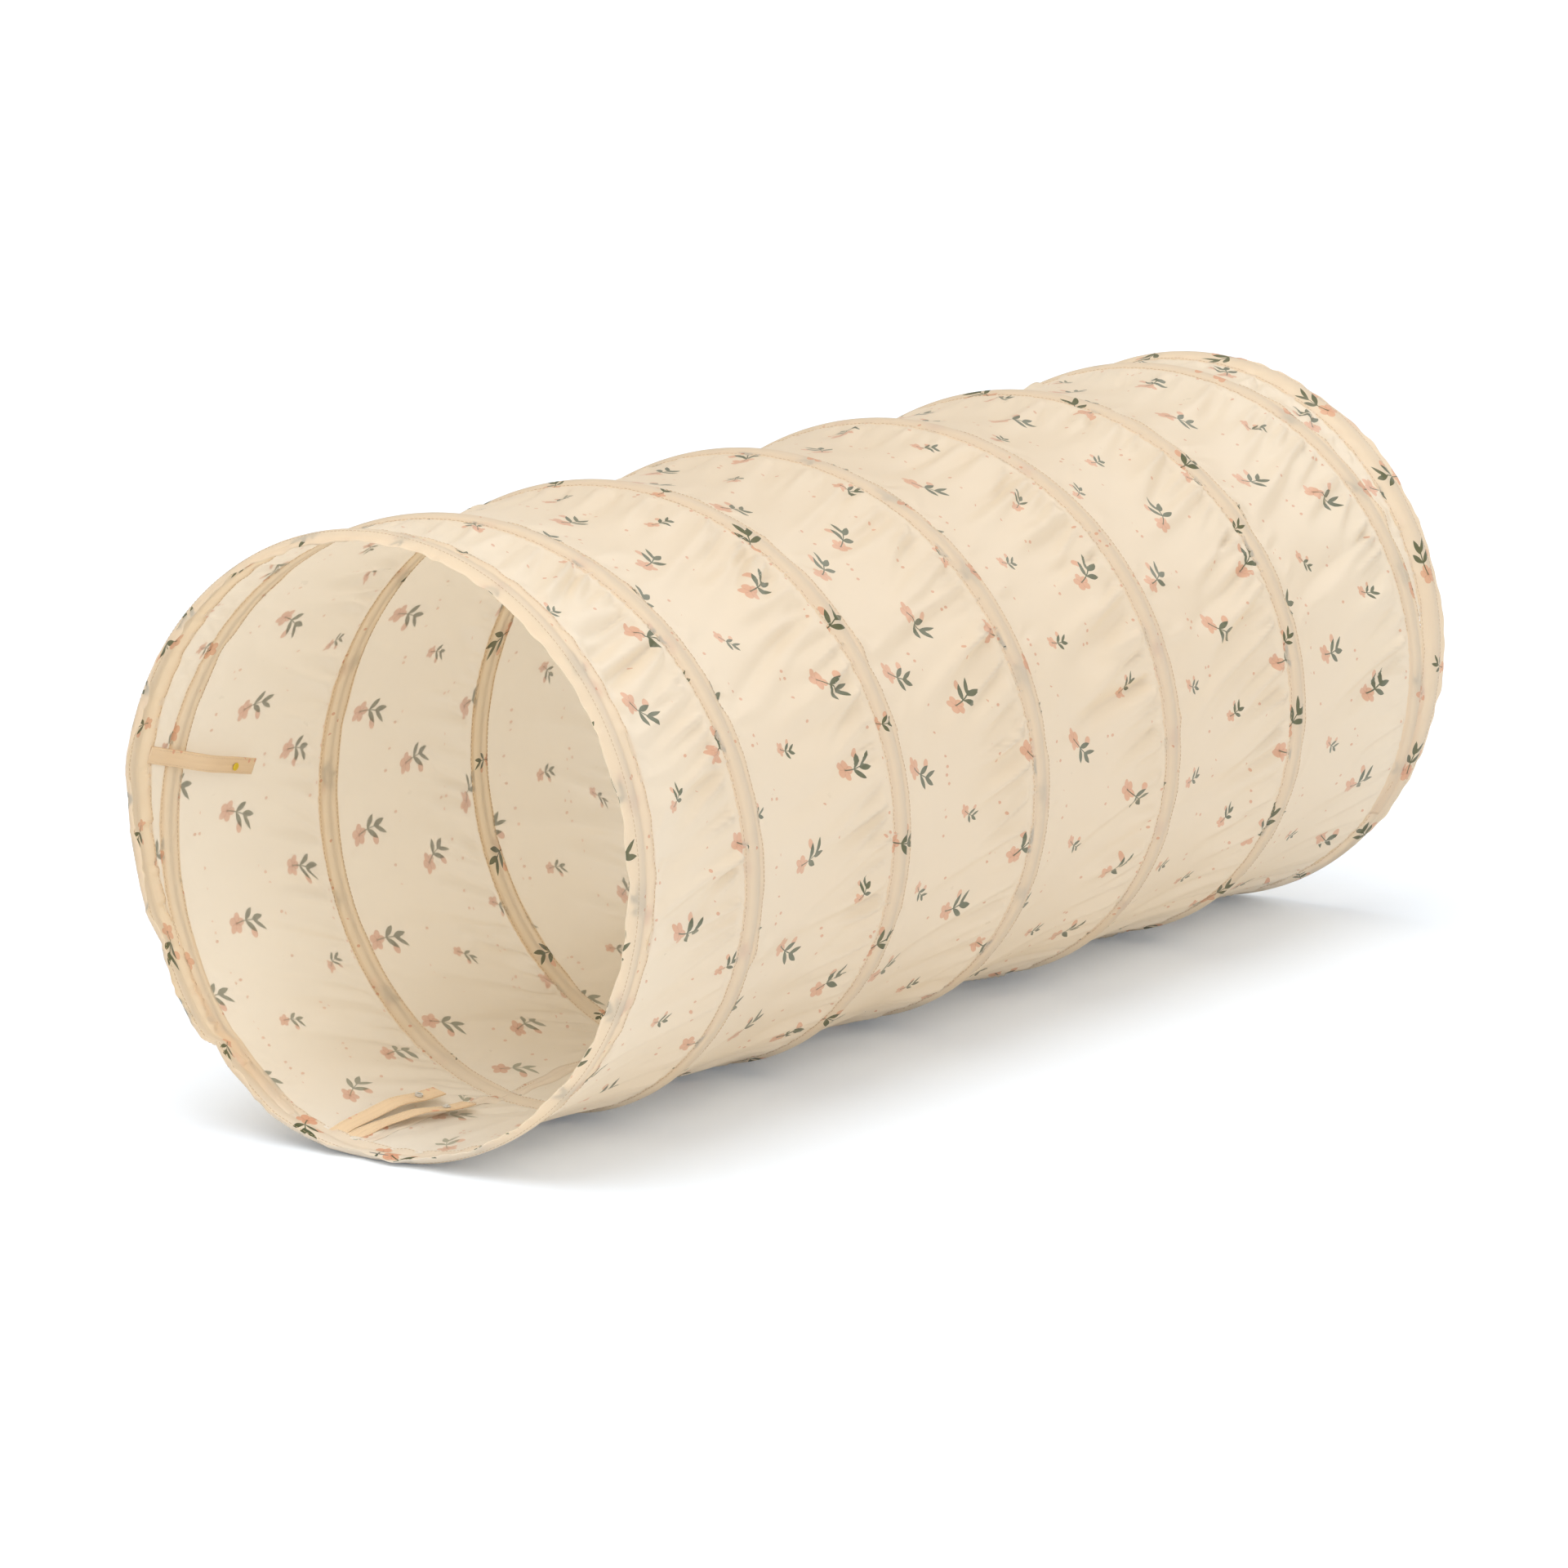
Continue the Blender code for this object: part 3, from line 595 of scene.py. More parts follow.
def creaseHeight(turns, toNear, toFar):
    # The drag lines that start at each sewn edge, plus a slow swell of three sines across each other
    turns, toNear, toFar = np.broadcast_arrays(turns, toNear, toFar)
    around = turns * hoopLength
    height = creaseSum(farCreases, around, toFar, 1)
    height = height + creaseSum(nearCreases, around - hoopLength, toNear, -1)
    degrees = np.degrees(np.mod(hoopAngle(turns), 2 * math.pi))
    height = height * np.interp(degrees, creases["degrees"], creases["strength"])
    swell = sum(np.sin(around * waves + toFar * across + start)
                for waves, across, start in creases["swells"])
    swell = swell / len(creases["swells"]) * creases["swellHeight"]
    return height + swell * smooth(toFar / creases["swellEdge"]) * smooth(toNear / creases["swellEdge"])


def nearEdgeGather(turns):
    # What the creases leave at a sleeve's near edge, which is the far edge of its panel
    return creaseHeight(turns, creases["usualWidth"], 0.0)


def farEdgeGather(turns):
    # And at its far edge, where the next panel begins
    return creaseHeight(turns + 1, 0.0, creases["usualWidth"])


def waistAt(turns, along):
    # The pulled cloth draws in between one hoop and the next: depth * sin(pi * share of the way)
    part = np.mod(turns, 1.0)
    turns = part + np.maximum(np.ceil(along / pitch - part), 0.0)
    near = np.maximum(pitch * (turns - 1), 0.0)
    far = np.minimum(pitch * turns, coilLength)
    gap = np.maximum(far - near, 0.0001)
    share = np.clip((along - near) / gap, 0.0, 1.0)
    return creases["waist"] * np.sin(math.pi * share) * np.minimum(1.0, gap / pitch)


# The skin: one sheet for each panel, tucked under the sleeves and hems that it is sewn to
skin = {
    "alongSteps": 560,
    "acrossSteps": 74,
    "thickness": 0.0004,
    "sleeveHalf": 0.0125,
    "tuck": 0.0040,
    "seamLap": 0.0015,
    "fullWidth": 0.05,         # creases have their whole height where the cloth is this wide
    "settle": 0.014,           # how far from a sewn edge they pass into what it leaves of them
    "tip": 0.0345,             # of cloth left at the pointed end of the first and last panel
    "printStep": (0.371, 0.647),
}


def panelEdges(turns):
    # The cloth's near and far sewn edge, in metres behind the near ring
    near = np.maximum(pitch * (turns - 1) + skin["sleeveHalf"], tunnel["hemBack"])
    far = np.minimum(pitch * turns - skin["sleeveHalf"], coilLength - tunnel["hemBack"])
    return near, far


def clothHeight(turns, along, near, far):
    # The creases between two sewn edges, lower where the cloth is narrow. Close to each edge they pass
    # into what is left of them there, which the sleeve follows too.
    toNear, toFar = np.maximum(along - near, 0.0), np.maximum(far - along, 0.0)
    height = creaseHeight(turns, toNear, toFar) * smooth((far - near) / skin["fullWidth"])
    height = height + (farEdgeGather(turns - 1) - height) * (1 - smooth(toNear / skin["settle"]))
    return height + (nearEdgeGather(turns) - height) * (1 - smooth(toFar / skin["settle"]))


def makePanel(index):
    # One turn of cloth between its sewn edges, with what is tucked under them and the seam's lap
    firstTip = skin["tip"] / pitch
    lastTip = 1 + (coilLength - skin["tip"]) / pitch
    lap = skin["seamLap"] / hoopLength
    first = max(firstTip, index - lap)
    last = min(lastTip, index + 1 + lap)
    rows = int(skin["alongSteps"] * (last - first)) + 1
    turns = np.linspace(first, last, rows)[:, None]
    share = np.linspace(0.0, 1.0, skin["acrossSteps"] + 1)[None, :]
    near, far = panelEdges(turns)
    width = far - near + 2 * skin["tuck"]
    along = near - skin["tuck"] + width * share
    blocks = [slice(row, row + creases["blockRows"]) for row in range(0, rows, creases["blockRows"])]
    height = np.concatenate([clothHeight(turns[block], along[block], near[block], far[block])
                             for block in blocks])
    middle = height - waistAt(turns, along)
    half = skin["thickness"] / 2
    offset = (skin["printStep"][0] * index, skin["printStep"][1] * index)
    panel = shellObject("cloth_panel_%d" % (index + 1), tunnelPoint(turns, along, middle + half),
                        tunnelPoint(turns, along, middle - half),
                        clothUv(turns * hoopLength, along - pitch * (turns - 1), offset))
    finishPiece(panel, skinCloth, *bodyOfTurn(index), "skin_panel_%d" % (index + 1), "cloth")
    length = float(last - first) * hoopLength
    return panel, (float(np.max(width)), length), float(np.mean(width)) * length


panels = [makePanel(index) for index in range(tunnel["sleeves"] + 1)]
print("seven panels made")

# Sleeves: a flat double strip with the wire's ridge in it. (across, outward) in millimetres
sleeve = {
    "profile": ((-13.6, 0.10), (-13.1, 0.42), (-11.4, 0.55), (-9.0, 0.62), (-6.2, 0.80), (-4.2, 1.20),
                (-2.6, 1.85), (-1.2, 2.40), (0.2, 2.55), (1.5, 2.25), (2.8, 1.60), (4.2, 1.05),
                (6.5, 0.74), (9.0, 0.60), (10.6, 0.52), (11.3, 0.40), (11.7, 0.10)),
    "innerProfile": ((-13.6, 0.10), (-13.1, 0.40), (-11.4, 0.52), (-9.0, 0.70), (-6.2, 1.30), (-4.2, 1.80),
                     (-2.6, 2.18), (-1.2, 2.40), (0.2, 2.48), (1.5, 2.38), (2.8, 2.10), (4.2, 1.66),
                     (6.5, 0.98), (9.0, 0.62), (10.6, 0.50), (11.3, 0.38), (11.7, 0.10)),
    "alongSteps": 560,
    "firstTurn": 1 / 24,
    "lap": 0.0006,             # one sleeve's end reaches over the next by this
    "edgeWave": 0.0008,
    "edgeWaves": ((0.017, 0.4), (0.043, 1.0)),   # metres for a radian, share
    "edgeFrom": 0.012,         # from the wire, where the wave is whole
    "endRoom": 0.0040,         # kept free at the tunnel's ends
    "gatherFrom": 0.004,       # the strip begins to follow the panels' creases this far from the wire
    "gatherWidth": (0.009, 0.008),
    "flatWidth": 0.0265,
    "printStep": (0.353, 0.129),
    "stitchRows": (-0.0121, 0.0103),
    "stitchFrom": 0.16,        # turns from the first sleeve's start and the last one's end
}


def loopProfile(half, innerHalf=None):
    # The outer side of a strip and the inner side turned over make one closed loop
    outer = np.array(half) / 1000
    inner = np.array(half if innerHalf is None else innerHalf)[::-1] / 1000 * (1, -1)
    return np.concatenate([outer, inner])


def outlineLengths(profile):
    # Metres along a closed outline to each of its points, and back to the first
    steps = np.diff(np.concatenate([profile, profile[:1]]), axis=0)
    return np.cumsum(np.concatenate([[0], np.hypot(*steps.T)]))[None, :]


def sleeveGather(turns, across):
    # The panels' creases at the strip's own edges, fading to nothing over the wire
    width = np.where(across < 0, *sleeve["gatherWidth"])
    share = smooth((np.abs(across) - sleeve["gatherFrom"]) / width)
    return np.where(across < 0, nearEdgeGather(turns), farEdgeGather(turns)) * share


def makeSleeve(number):
    # The strip's outline carried once round the coil. Beside the wire it follows the cloth's creases.
    lap = sleeve["lap"] / hoopLength
    first = number - 1 - lap if number > 1 else sleeve["firstTurn"]
    last = number + lap if number < tunnel["sleeves"] else tunnel["turns"] - sleeve["firstTurn"]
    turns = np.linspace(first, last, int(sleeve["alongSteps"] * (last - first)) + 1)[:, None]
    profile = loopProfile(sleeve["profile"], sleeve["innerProfile"])
    across, outward = profile[:, 0][None, :], profile[:, 1][None, :]
    sway = sum(np.sin(turns * hoopLength / every + number) * share for every, share in sleeve["edgeWaves"])
    sway = sway * sleeve["edgeWave"] * np.clip(np.abs(across) / sleeve["edgeFrom"], 0, 1)
    along = np.clip(pitch * turns + across + sway * np.sign(across),
                    sleeve["endRoom"], coilLength - sleeve["endRoom"])
    lift = sleeveGather(turns, across) - waistAt(turns + 0 * along, along)
    offset = (sleeve["printStep"][0] * number, sleeve["printStep"][1] * number)
    made = tubeObject("sleeve_band_%d" % number, tunnelPoint(turns, along, outward + lift),
                      clothUv(turns * hoopLength, outlineLengths(profile), offset))
    finishPiece(made, bandCloth, *bodyOfTurn(number), "sleeve_%d" % number, "band_cloth")
    return made, (sleeve["flatWidth"], float(last - first) * hoopLength)


sleeves = [makeSleeve(number) for number in range(1, tunnel["sleeves"] + 1)]
print("six sleeves made")

# Hems: the cloth folded over a ring and sewn along its back edge
hem = {
    "profile": ((-18.0, 0.10), (-17.6, 0.55), (-15.5, 0.80), (-12.0, 0.95), (-9.0, 1.15), (-7.0, 1.70),
                (-5.2, 2.50), (-3.4, 2.90), (-1.6, 2.90), (0.2, 2.75), (2.0, 2.20), (4.0, 1.35),
                (7.0, 0.95), (11.0, 0.80), (15.0, 0.72), (19.0, 0.60), (20.2, 0.42), (20.6, 0.12)),
    "aroundSteps": 900,
    # Each tuck: degrees from the lowest point, depth, width in degrees
    "tucks": ((28, 0.0030, 1.3), (36.5, -0.0034, 1.0), (47.5, 0.0034, 1.2), (55, -0.0028, 1.0),
              (63, 0.0042, 1.1), (72, -0.0022, 0.9), (79, 0.0030, 0.9), (87.5, -0.0030, 0.7),
              (97, 0.0022, 0.8), (112, -0.0016, 1.0), (131, 0.0014, 1.2), (159, -0.0012, 1.4),
              (196, 0.0012, 1.4), (243, -0.0014, 1.2), (296, 0.0014, 1.2), (338, -0.0018, 1.3)),
    "marginRipple": ((0.0005, 37, 3, 5, 0.0), (0.00035, 71, 0, 0, 1.3)),
    "ringAt": -0.0018,         # the margins' ripple fades in from here: this far, over so much
    "marginFrom": 0.005, "marginFade": 0.008,
    "bulge": 0.0013,           # more room on the inner side, round the ferrule
    "bulgeWidth": 0.0055,
    "bulgeDegrees": (3.4, 6.0),
    "finer": np.arange(5, 19),   # more places across the back margin, for the ridge over the wire
    "wireBulge": 0.00115,
    "wireWidth": 0.0026,
    "wireStart": 0.0040,       # the ridge has grown to its height where the wire is this far from the ring
    "hinge": -0.0075,          # the lip turns in from here
    "bend": 0.006,
    "lipWave": ((0.0012, 19, 2, 4, 0.0),), "lipWaveFade": 0.010,
    "nearLean": 0.62,          # radians that the near lip turns in: 0 at the right, twice this at the left
    "nearTucks": ((0.22, 11, 2.0, 3, 0.0), (0.14, 23, 0, 0, 1.0)),
    "leanLimits": (0.02, 1.5),
    "farLean": 0.15,
    "farTucks": ((0.12, 9, 0, 0, 0.0),),
    "flatWidth": 0.0410,
    "stitchRows": (0.0186, -0.0068),
}


def ripple(angle, kinds):
    # Sines whose spacing swings, added up: height * sin(count * a + swing * sin(swings * a) + start)
    return sum(height * np.sin(angle * count + swing * np.sin(angle * swings) + start)
               for height, count, swing, swings, start in kinds)


def nearLean(angle):
    # Radians that the near lip leans in: most at the left, little at the right, with tucks
    lean = hem["nearLean"] * (1 + np.sin(angle))
    return np.clip(lean * (1 + ripple(angle, hem["nearTucks"])), *hem["leanLimits"])


def farLean(angle):
    # The far lip leans in a little all round
    return hem["farLean"] + ripple(angle, hem["farTucks"])


def marginWave(angle, across):
    # The small ripple that sewing leaves along a hem's flat margins, and tucks: d exp(-d^2) for d the
    # distance from each in its own widths. The ring between the margins stays as it is.
    wave = ripple(angle, hem["marginRipple"])
    for degrees, depth, width in hem["tucks"]:
        away = (np.degrees(np.mod(angle, 2 * math.pi)) - degrees) / width
        wave = wave + depth * away * np.exp(-away * away)
    return wave * smooth((np.abs(across - hem["ringAt"]) - hem["marginFrom"]) / hem["marginFade"])


def ferruleRoom(angle, across, ferruleDegrees):
    # bulge * exp(-(across / width)^2), all along the ferrule and fading past its ends
    away = np.abs(np.mod(np.degrees(angle) - ferruleDegrees + 180, 360) - 180)
    first, last = hem["bulgeDegrees"]
    along = 1 - smooth((away - first) / (last - first))
    return hem["bulge"] * along * np.exp(-((across - hem["ringAt"]) / hem["bulgeWidth"]) ** 2)


def wireRoom(angle, across, facing):
    # The ridge over the wire where it winds away from the ring inside the hem: on both faces,
    # bulge * exp(-((across - wire) / width)^2), growing from nothing at the ring
    leaves = hoopAngle(0.0 if facing > 0 else tunnel["turns"])
    wire = np.mod(facing * (angle - leaves), 2 * math.pi) / (2 * math.pi) * pitch
    ridge = np.exp(-((across - wire) / hem["wireWidth"]) ** 2)
    return hem["wireBulge"] * smooth(wire / hem["wireStart"]) * ridge


def hemProfile():
    # The hem's closed outline, with the finer places put in between the given ones
    half = np.array(hem["profile"])
    places = np.union1d(half[:, 0], hem["finer"])
    return loopProfile(np.stack([places, np.interp(places, *half.T)], axis=-1))


def makeHem(name, node, body, facing, ringAlong, lean, offset, ferruleDegrees):
    # The profile is carried round the ring. Past the hinge it follows an arc, which turns by the
    # lean over the bend, and then runs straight on.
    angle = np.linspace(0, 2 * math.pi, hem["aroundSteps"], endpoint=False)[:, None]
    turns = (angle - tunnel["footAngle"]) / (2 * math.pi)
    profile = hemProfile()
    across, thick = profile[:, 0][None, :], profile[:, 1][None, :]
    thick = thick - np.where(thick < 0, ferruleRoom(angle, across, ferruleDegrees), 0.0)
    thick = thick + np.sign(thick) * wireRoom(angle, across, facing)
    past = np.maximum(hem["hinge"] - across, 0.0)
    theta = lean(angle) * np.minimum(past, hem["bend"]) / hem["bend"]
    turning = lean(angle) / hem["bend"]
    straight = np.maximum(past - hem["bend"], 0)
    ahead = np.sin(theta) / turning + straight * np.cos(theta)
    drop = (1 - np.cos(theta)) / turning + straight * np.sin(theta)
    along = np.where(past > 0, hem["hinge"] - ahead, across) + thick * np.sin(theta)
    outward = thick * np.cos(theta) - drop + marginWave(angle, across)
    outward = outward - waistAt(turns + 0 * along, ringAlong + facing * np.maximum(along, 0.0))
    along = along + ripple(angle, hem["lipWave"]) * smooth(past / hem["lipWaveFade"])
    around = np.linspace(0, hoopLength, hem["aroundSteps"] + 1)[:, None]
    made = tubeObject(name, tunnelPoint(turns, ringAlong + facing * along, outward),
                      clothUv(around, outlineLengths(profile), offset), ring=True)
    return finishPiece(made, hemCloth, body, node=node, slot="band_cloth")


nearHemBand = makeHem("near_mouth_hem", "front_hem", "front_end", 1, 0.0, nearLean, (0.0, 0.05), 0)
farHemBand = makeHem("far_mouth_hem", "rear_hem", "rear_end", -1, coilLength, farLean, (0.4, 0.02), 330)
print("two hems made")

# Spring wire: rings stay in the hems, and the coil between them goes with the near end
spring = {
    "radius": 0.00125, "girth": 0.008, "sides": 10, "stepsPerTurn": 96,
    "joinTurns": tunnel["hemBack"] / pitch,
    "ringTurns": 1.04,         # each ring closes with this much lap
    "lapAside": 0.0036,        # a ring's wire moves sideways by this in one turn
}


def wireTube(name, turns, body, anchor=None, node=None):
    # A circle of the wire's radius carried along the coil: outward by cos, along the tunnel by sin
    turns = turns[:, None]
    spin = np.linspace(0, 2 * math.pi, spring["sides"], endpoint=False)[None, :]
    along = np.clip(turns * pitch, 0, coilLength)
    lap = np.where(turns < 0, turns, np.where(turns > tunnel["turns"], turns - tunnel["turns"], 0.0))
    along = along + lap * spring["lapAside"]
    points = tunnelPoint(turns, along + spring["radius"] * np.sin(spin), spring["radius"] * np.cos(spin))
    girth = np.linspace(0, spring["girth"], spring["sides"] + 1)[None, :]
    made = tubeObject(name, points, clothUv(turns * hoopLength, girth, (0, 0)))
    return finishPiece(made, wireSteel, body, anchor, node, "spring_steel")


def turnRange(first, last):
    # Even places on the coil, counted in turns
    return np.linspace(first, last, int((last - first) * spring["stepsPerTurn"]) + 2)


join, ringTurns = spring["joinTurns"], spring["ringTurns"]
wireTube("spring_coil", turnRange(join, tunnel["turns"] - join), "front_end", tunnel["hemBack"],
         "spring_wire")
wireTube("near_ring_wire", turnRange(-ringTurns, join), "front_end")
wireTube("far_ring_wire", turnRange(tunnel["turns"] - join, tunnel["turns"] + ringTurns), "rear_end")
print("spring wire made")

# Sewing: each stitch is a small pointed bead, laid in rows on a seam
stitch = {"every": 0.0036, "length": 0.0029, "width": 0.00050, "proud": 0.00010,
          "shoulder": (0.62, 0.85)}   # share of the half length, share of the width


def stitchRows(name, rows, body, anchor=None):
    # Each row gives stitch middles, directions along the seam and normals. A bead has two rings of
    # four corners between two tips: middle + along * x + (side cos q + normal sin q) * width.
    middles, alongs, normals = (np.concatenate([row[part] for row in rows]) for part in range(3))
    alongs = alongs / np.linalg.norm(alongs, axis=1, keepdims=True)
    sides = np.cross(alongs, normals)
    sides = sides / np.linalg.norm(sides, axis=1, keepdims=True)
    normals = np.cross(sides, alongs)
    tip = alongs * stitch["length"] / 2
    reach, girth = stitch["shoulder"]
    corners = [middles - tip]
    for shoulder in (-reach, reach):
        for quarter in range(4):
            spin = math.pi / 4 + quarter * math.pi / 2
            ring = (sides * math.cos(spin) + normals * math.sin(spin)) * girth * stitch["width"] / 2
            corners.append(middles + tip * shoulder + ring)
    vertices = np.stack(corners + [middles + tip], axis=1)
    faces = [(0, 1 + q, 1 + (q + 1) % 4) for q in range(4)]
    faces += [(1 + q, 5 + q, 5 + (q + 1) % 4, 1 + (q + 1) % 4) for q in range(4)]
    faces += [(9, 5 + (q + 1) % 4, 5 + q) for q in range(4)]
    # Turned round where the first side face looks inwards
    bead = vertices[0]
    first, second, third = (bead[corner] for corner in faces[4][:3])
    if np.dot(np.cross(second - first, third - first), first - middles[0]) < 0:
        faces = [face[::-1] for face in faces]
    pattern = np.concatenate([np.array(face) for face in faces])
    starts = np.concatenate([[0], np.cumsum([len(face) for face in faces])[:-1]])
    number = np.arange(len(middles))[:, None]
    loops = (pattern[None, :] + len(bead) * number).ravel()
    starts = (starts[None, :] + len(pattern) * number).ravel()
    made = meshObject(name, vertices.reshape(-1, 3), loops, starts)
    return finishPiece(made, threadFinish, body, anchor)


def seamRow(turns, along, outward, side):
    # Stitches that run round the hoop, on the outer face for side 1 and the inner one for side -1
    here = tunnelPoint(turns, along, outward + side * stitch["proud"])
    step = 0.001 / hoopLength
    ahead = tunnelPoint(turns + step, along + step * np.gradient(along) / np.gradient(turns), outward)
    behind = tunnelPoint(turns - step, along - step * np.gradient(along) / np.gradient(turns), outward)
    angle = hoopAngle(turns)
    normal = np.stack([-np.sin(angle), 0 * angle, -np.cos(angle)], axis=-1) * side
    return here, ahead - behind, normal


def sleeveStitching(number):
    # A seam along each edge of the strip, seen on its outer and its inner face
    first = number - 1 if number > 1 else sleeve["stitchFrom"]
    last = number if number < tunnel["sleeves"] else tunnel["turns"] - sleeve["stitchFrom"]
    turns = np.arange(first + 0.001, last - 0.001, stitch["every"] / hoopLength)
    rows = []
    for across in sleeve["stitchRows"]:
        place = pitch * turns + across
        lift = sleeveGather(turns, across) - waistAt(turns, place)
        for side, outline in ((1, "profile"), (-1, "innerProfile")):
            depth = np.interp(across * 1000, *np.array(sleeve[outline]).T) / 1000
            rows.append(seamRow(turns, place, lift + side * depth, side))
    stitchRows("sleeve_stitching_%d" % number, rows, *bodyOfTurn(number))


def hemStitching(name, body, facing, ringAlong):
    # The seam near the hem's back edge and the one in front of the ring
    turns = np.arange(0.0, 1.0, stitch["every"] / hoopLength)
    angle = hoopAngle(turns)
    rows = []
    for across in hem["stitchRows"]:
        place = ringAlong + facing * across + 0 * turns
        lift = marginWave(angle, across) - waistAt(turns, ringAlong + facing * max(across, 0.0) + 0 * turns)
        depth = np.interp(across * 1000, *np.array(hem["profile"]).T) / 1000
        depth = depth + wireRoom(angle, across, facing)
        for side in (1, -1):
            rows.append(seamRow(turns, place, lift + side * depth, side))
    stitchRows(name, rows, body)


for number in range(1, tunnel["sleeves"] + 1):
    sleeveStitching(number)
hemStitching("near_hem_stitching", "front_end", 1, 0.0)
hemStitching("far_hem_stitching", "rear_end", -1, coilLength)
print("sleeves and hems stitched")

# The seam along the floor, where each panel's ends are sewn together. Outline in millimetres
floorSeam = {
    "profile": ((-5.6, 0.05), (-5.3, 0.45), (-3.0, 0.62), (-0.4, 0.55), (0.0, 0.40), (0.4, 0.85),
                (2.6, 1.05), (4.9, 0.85), (5.2, 0.10)),
    "under": -0.12,            # the underside is this share of the outline, turned over
    "rows": 90,
    "lift": 0.0004,
    "tuck": 0.002,             # it reaches under the sleeves
    "sway": 0.0006, "swayWaves": 160,
    "stitchAside": 0.0024, "stitchHeight": 0.00155, "stitchFrom": 0.004,
    "flatWidth": 0.0112,
}


def makeFloorSeam(index):
    # A folded strip, its outline carried from one sleeve to the next over the cloth's inner face
    turns = index + 1.0
    near, far = (float(edge) for edge in panelEdges(np.array(turns)))

    def clothAt(across, along):
        # The creases less the waist, which is taken just before the turn ends and the next one counts
        return clothHeight(turns + across, along, near, far) - waistAt(turns - 0.0001 + 0 * along, along)

    along = np.linspace(near - floorSeam["tuck"], far + floorSeam["tuck"], floorSeam["rows"])[:, None]
    half = np.array(floorSeam["profile"]) / 1000
    profile = np.concatenate([half, half[::-1] * (1, floorSeam["under"])])
    sway = floorSeam["sway"] * np.sin(along * floorSeam["swayWaves"] + index)
    across = (profile[:, 0][None, :] + sway) / hoopLength
    outward = clothAt(across, along) - floorSeam["lift"] - profile[:, 1][None, :]
    made = tubeObject("floor_seam_%d" % (index + 1), tunnelPoint(turns + across, along, outward),
                      clothUv(outlineLengths(profile), along, (0.2, 0.3 * index)))
    finishPiece(made, skinCloth, *bodyOfTurn(index), slot="cloth")
    sewn = np.arange(near + floorSeam["stitchFrom"], far - floorSeam["stitchFrom"], stitch["every"])
    place = tunnelPoint(turns + floorSeam["stitchAside"] / hoopLength, sewn,
                        clothAt(0 * sewn, sewn) - floorSeam["stitchHeight"])
    foot = tunnel["footAngle"]
    normal = np.tile([math.sin(foot), 0.0, math.cos(foot)], (len(sewn), 1))
    stitchRows("floor_seam_stitching_%d" % (index + 1), [(place, np.gradient(place, axis=0), normal)],
               *bodyOfTurn(index))
    return made, (floorSeam["flatWidth"], float(far - near) + 2 * floorSeam["tuck"])


floorSeams = [makeFloorSeam(index) for index in range(tunnel["sleeves"])]
print("floor seam made")

# Straps: folded tape, sewn along both edges, where the CAD straps lie. Outline in millimetres
strap = {
    "length": 0.118, "width": 0.0135, "thickness": 0.0016,
    "seat": 0.003,                # the root lies this far inside the hem's back edge
    "tail": 0.0016,               # hidden in the hem's seam
    "hemSlope": (0.0028, 0.0031),   # the hem's rise at the root, over its back less this
    "clear": 0.0003,
    "climb": 0.0112,              # over the panel's waist
    "riseShare": 0.60, "snapShare": 0.78,
    "dip": 0.0026, "dipFrom": -0.03, "dipLength": 0.14,     # shares of the length
    "wave": 0.0005, "waves": 13.0, "waveStart": 900, "waveIn": 0.3, "waveOut": (0.95, 0.2),
    "endFrom": 0.97, "endFlatter": 0.25,
    "wallAngle": math.radians(105), "wallFall": math.radians(11.3), "wallAside": -0.0185,
    "floorAngle": math.radians(15), "floorAside": -0.0125,
    "twist": math.radians(15), "twistShare": 0.30,
    "spread": 0.0075, "drift": -0.0150, "spacing": 0.0142,
    "flatRadius": 0.240 * math.cos(math.radians(7.5)),
    "profile": ((-6.75, 0.10), (-6.68, 0.55), (-6.35, 0.82), (-5.7, 0.84), (-5.25, 0.62), (-4.8, 0.80),
                (-2.4, 0.86), (-0.3, 0.78), (0.0, 0.62), (0.3, 0.74), (2.6, 0.82), (4.8, 0.80),
                (5.25, 0.62), (5.7, 0.84), (6.35, 0.82), (6.68, 0.55), (6.75, 0.10)),
    "rows": 130,
    "seamAt": 0.00525, "seamDepth": 0.00066, "sewn": (0.06, 0.985),
    "flatWidth": 0.0145,
    "printStep": 0.0137,
}


def strapFrame(angle, aside, fall):
    # The root on the hem's inner face and the directions along, across and inward, as the CAD has them
    tangent = np.array([-math.cos(angle), 0.0, math.sin(angle)])
    axis = np.array([0.0, 1.0, 0.0])
    inward = np.cross(axis, tangent)
    rise, short = strap["hemSlope"]
    hemRise = rise * strap["seat"] / (tunnel["hemBack"] - short)
    lift = strap["clear"] + strap["thickness"] / math.sqrt(2)
    foot = np.array([-math.sin(angle), 0.0, -math.cos(angle)]) * strap["flatRadius"]
    root = foot + np.array([0.0, ringY + tunnel["hemBack"] - strap["seat"], axisHeight])
    root = root + tangent * aside + inward * (hemRise + lift)
    along = axis * math.cos(fall) - tangent * math.sin(fall)
    return root, along, np.cross(inward, along), inward


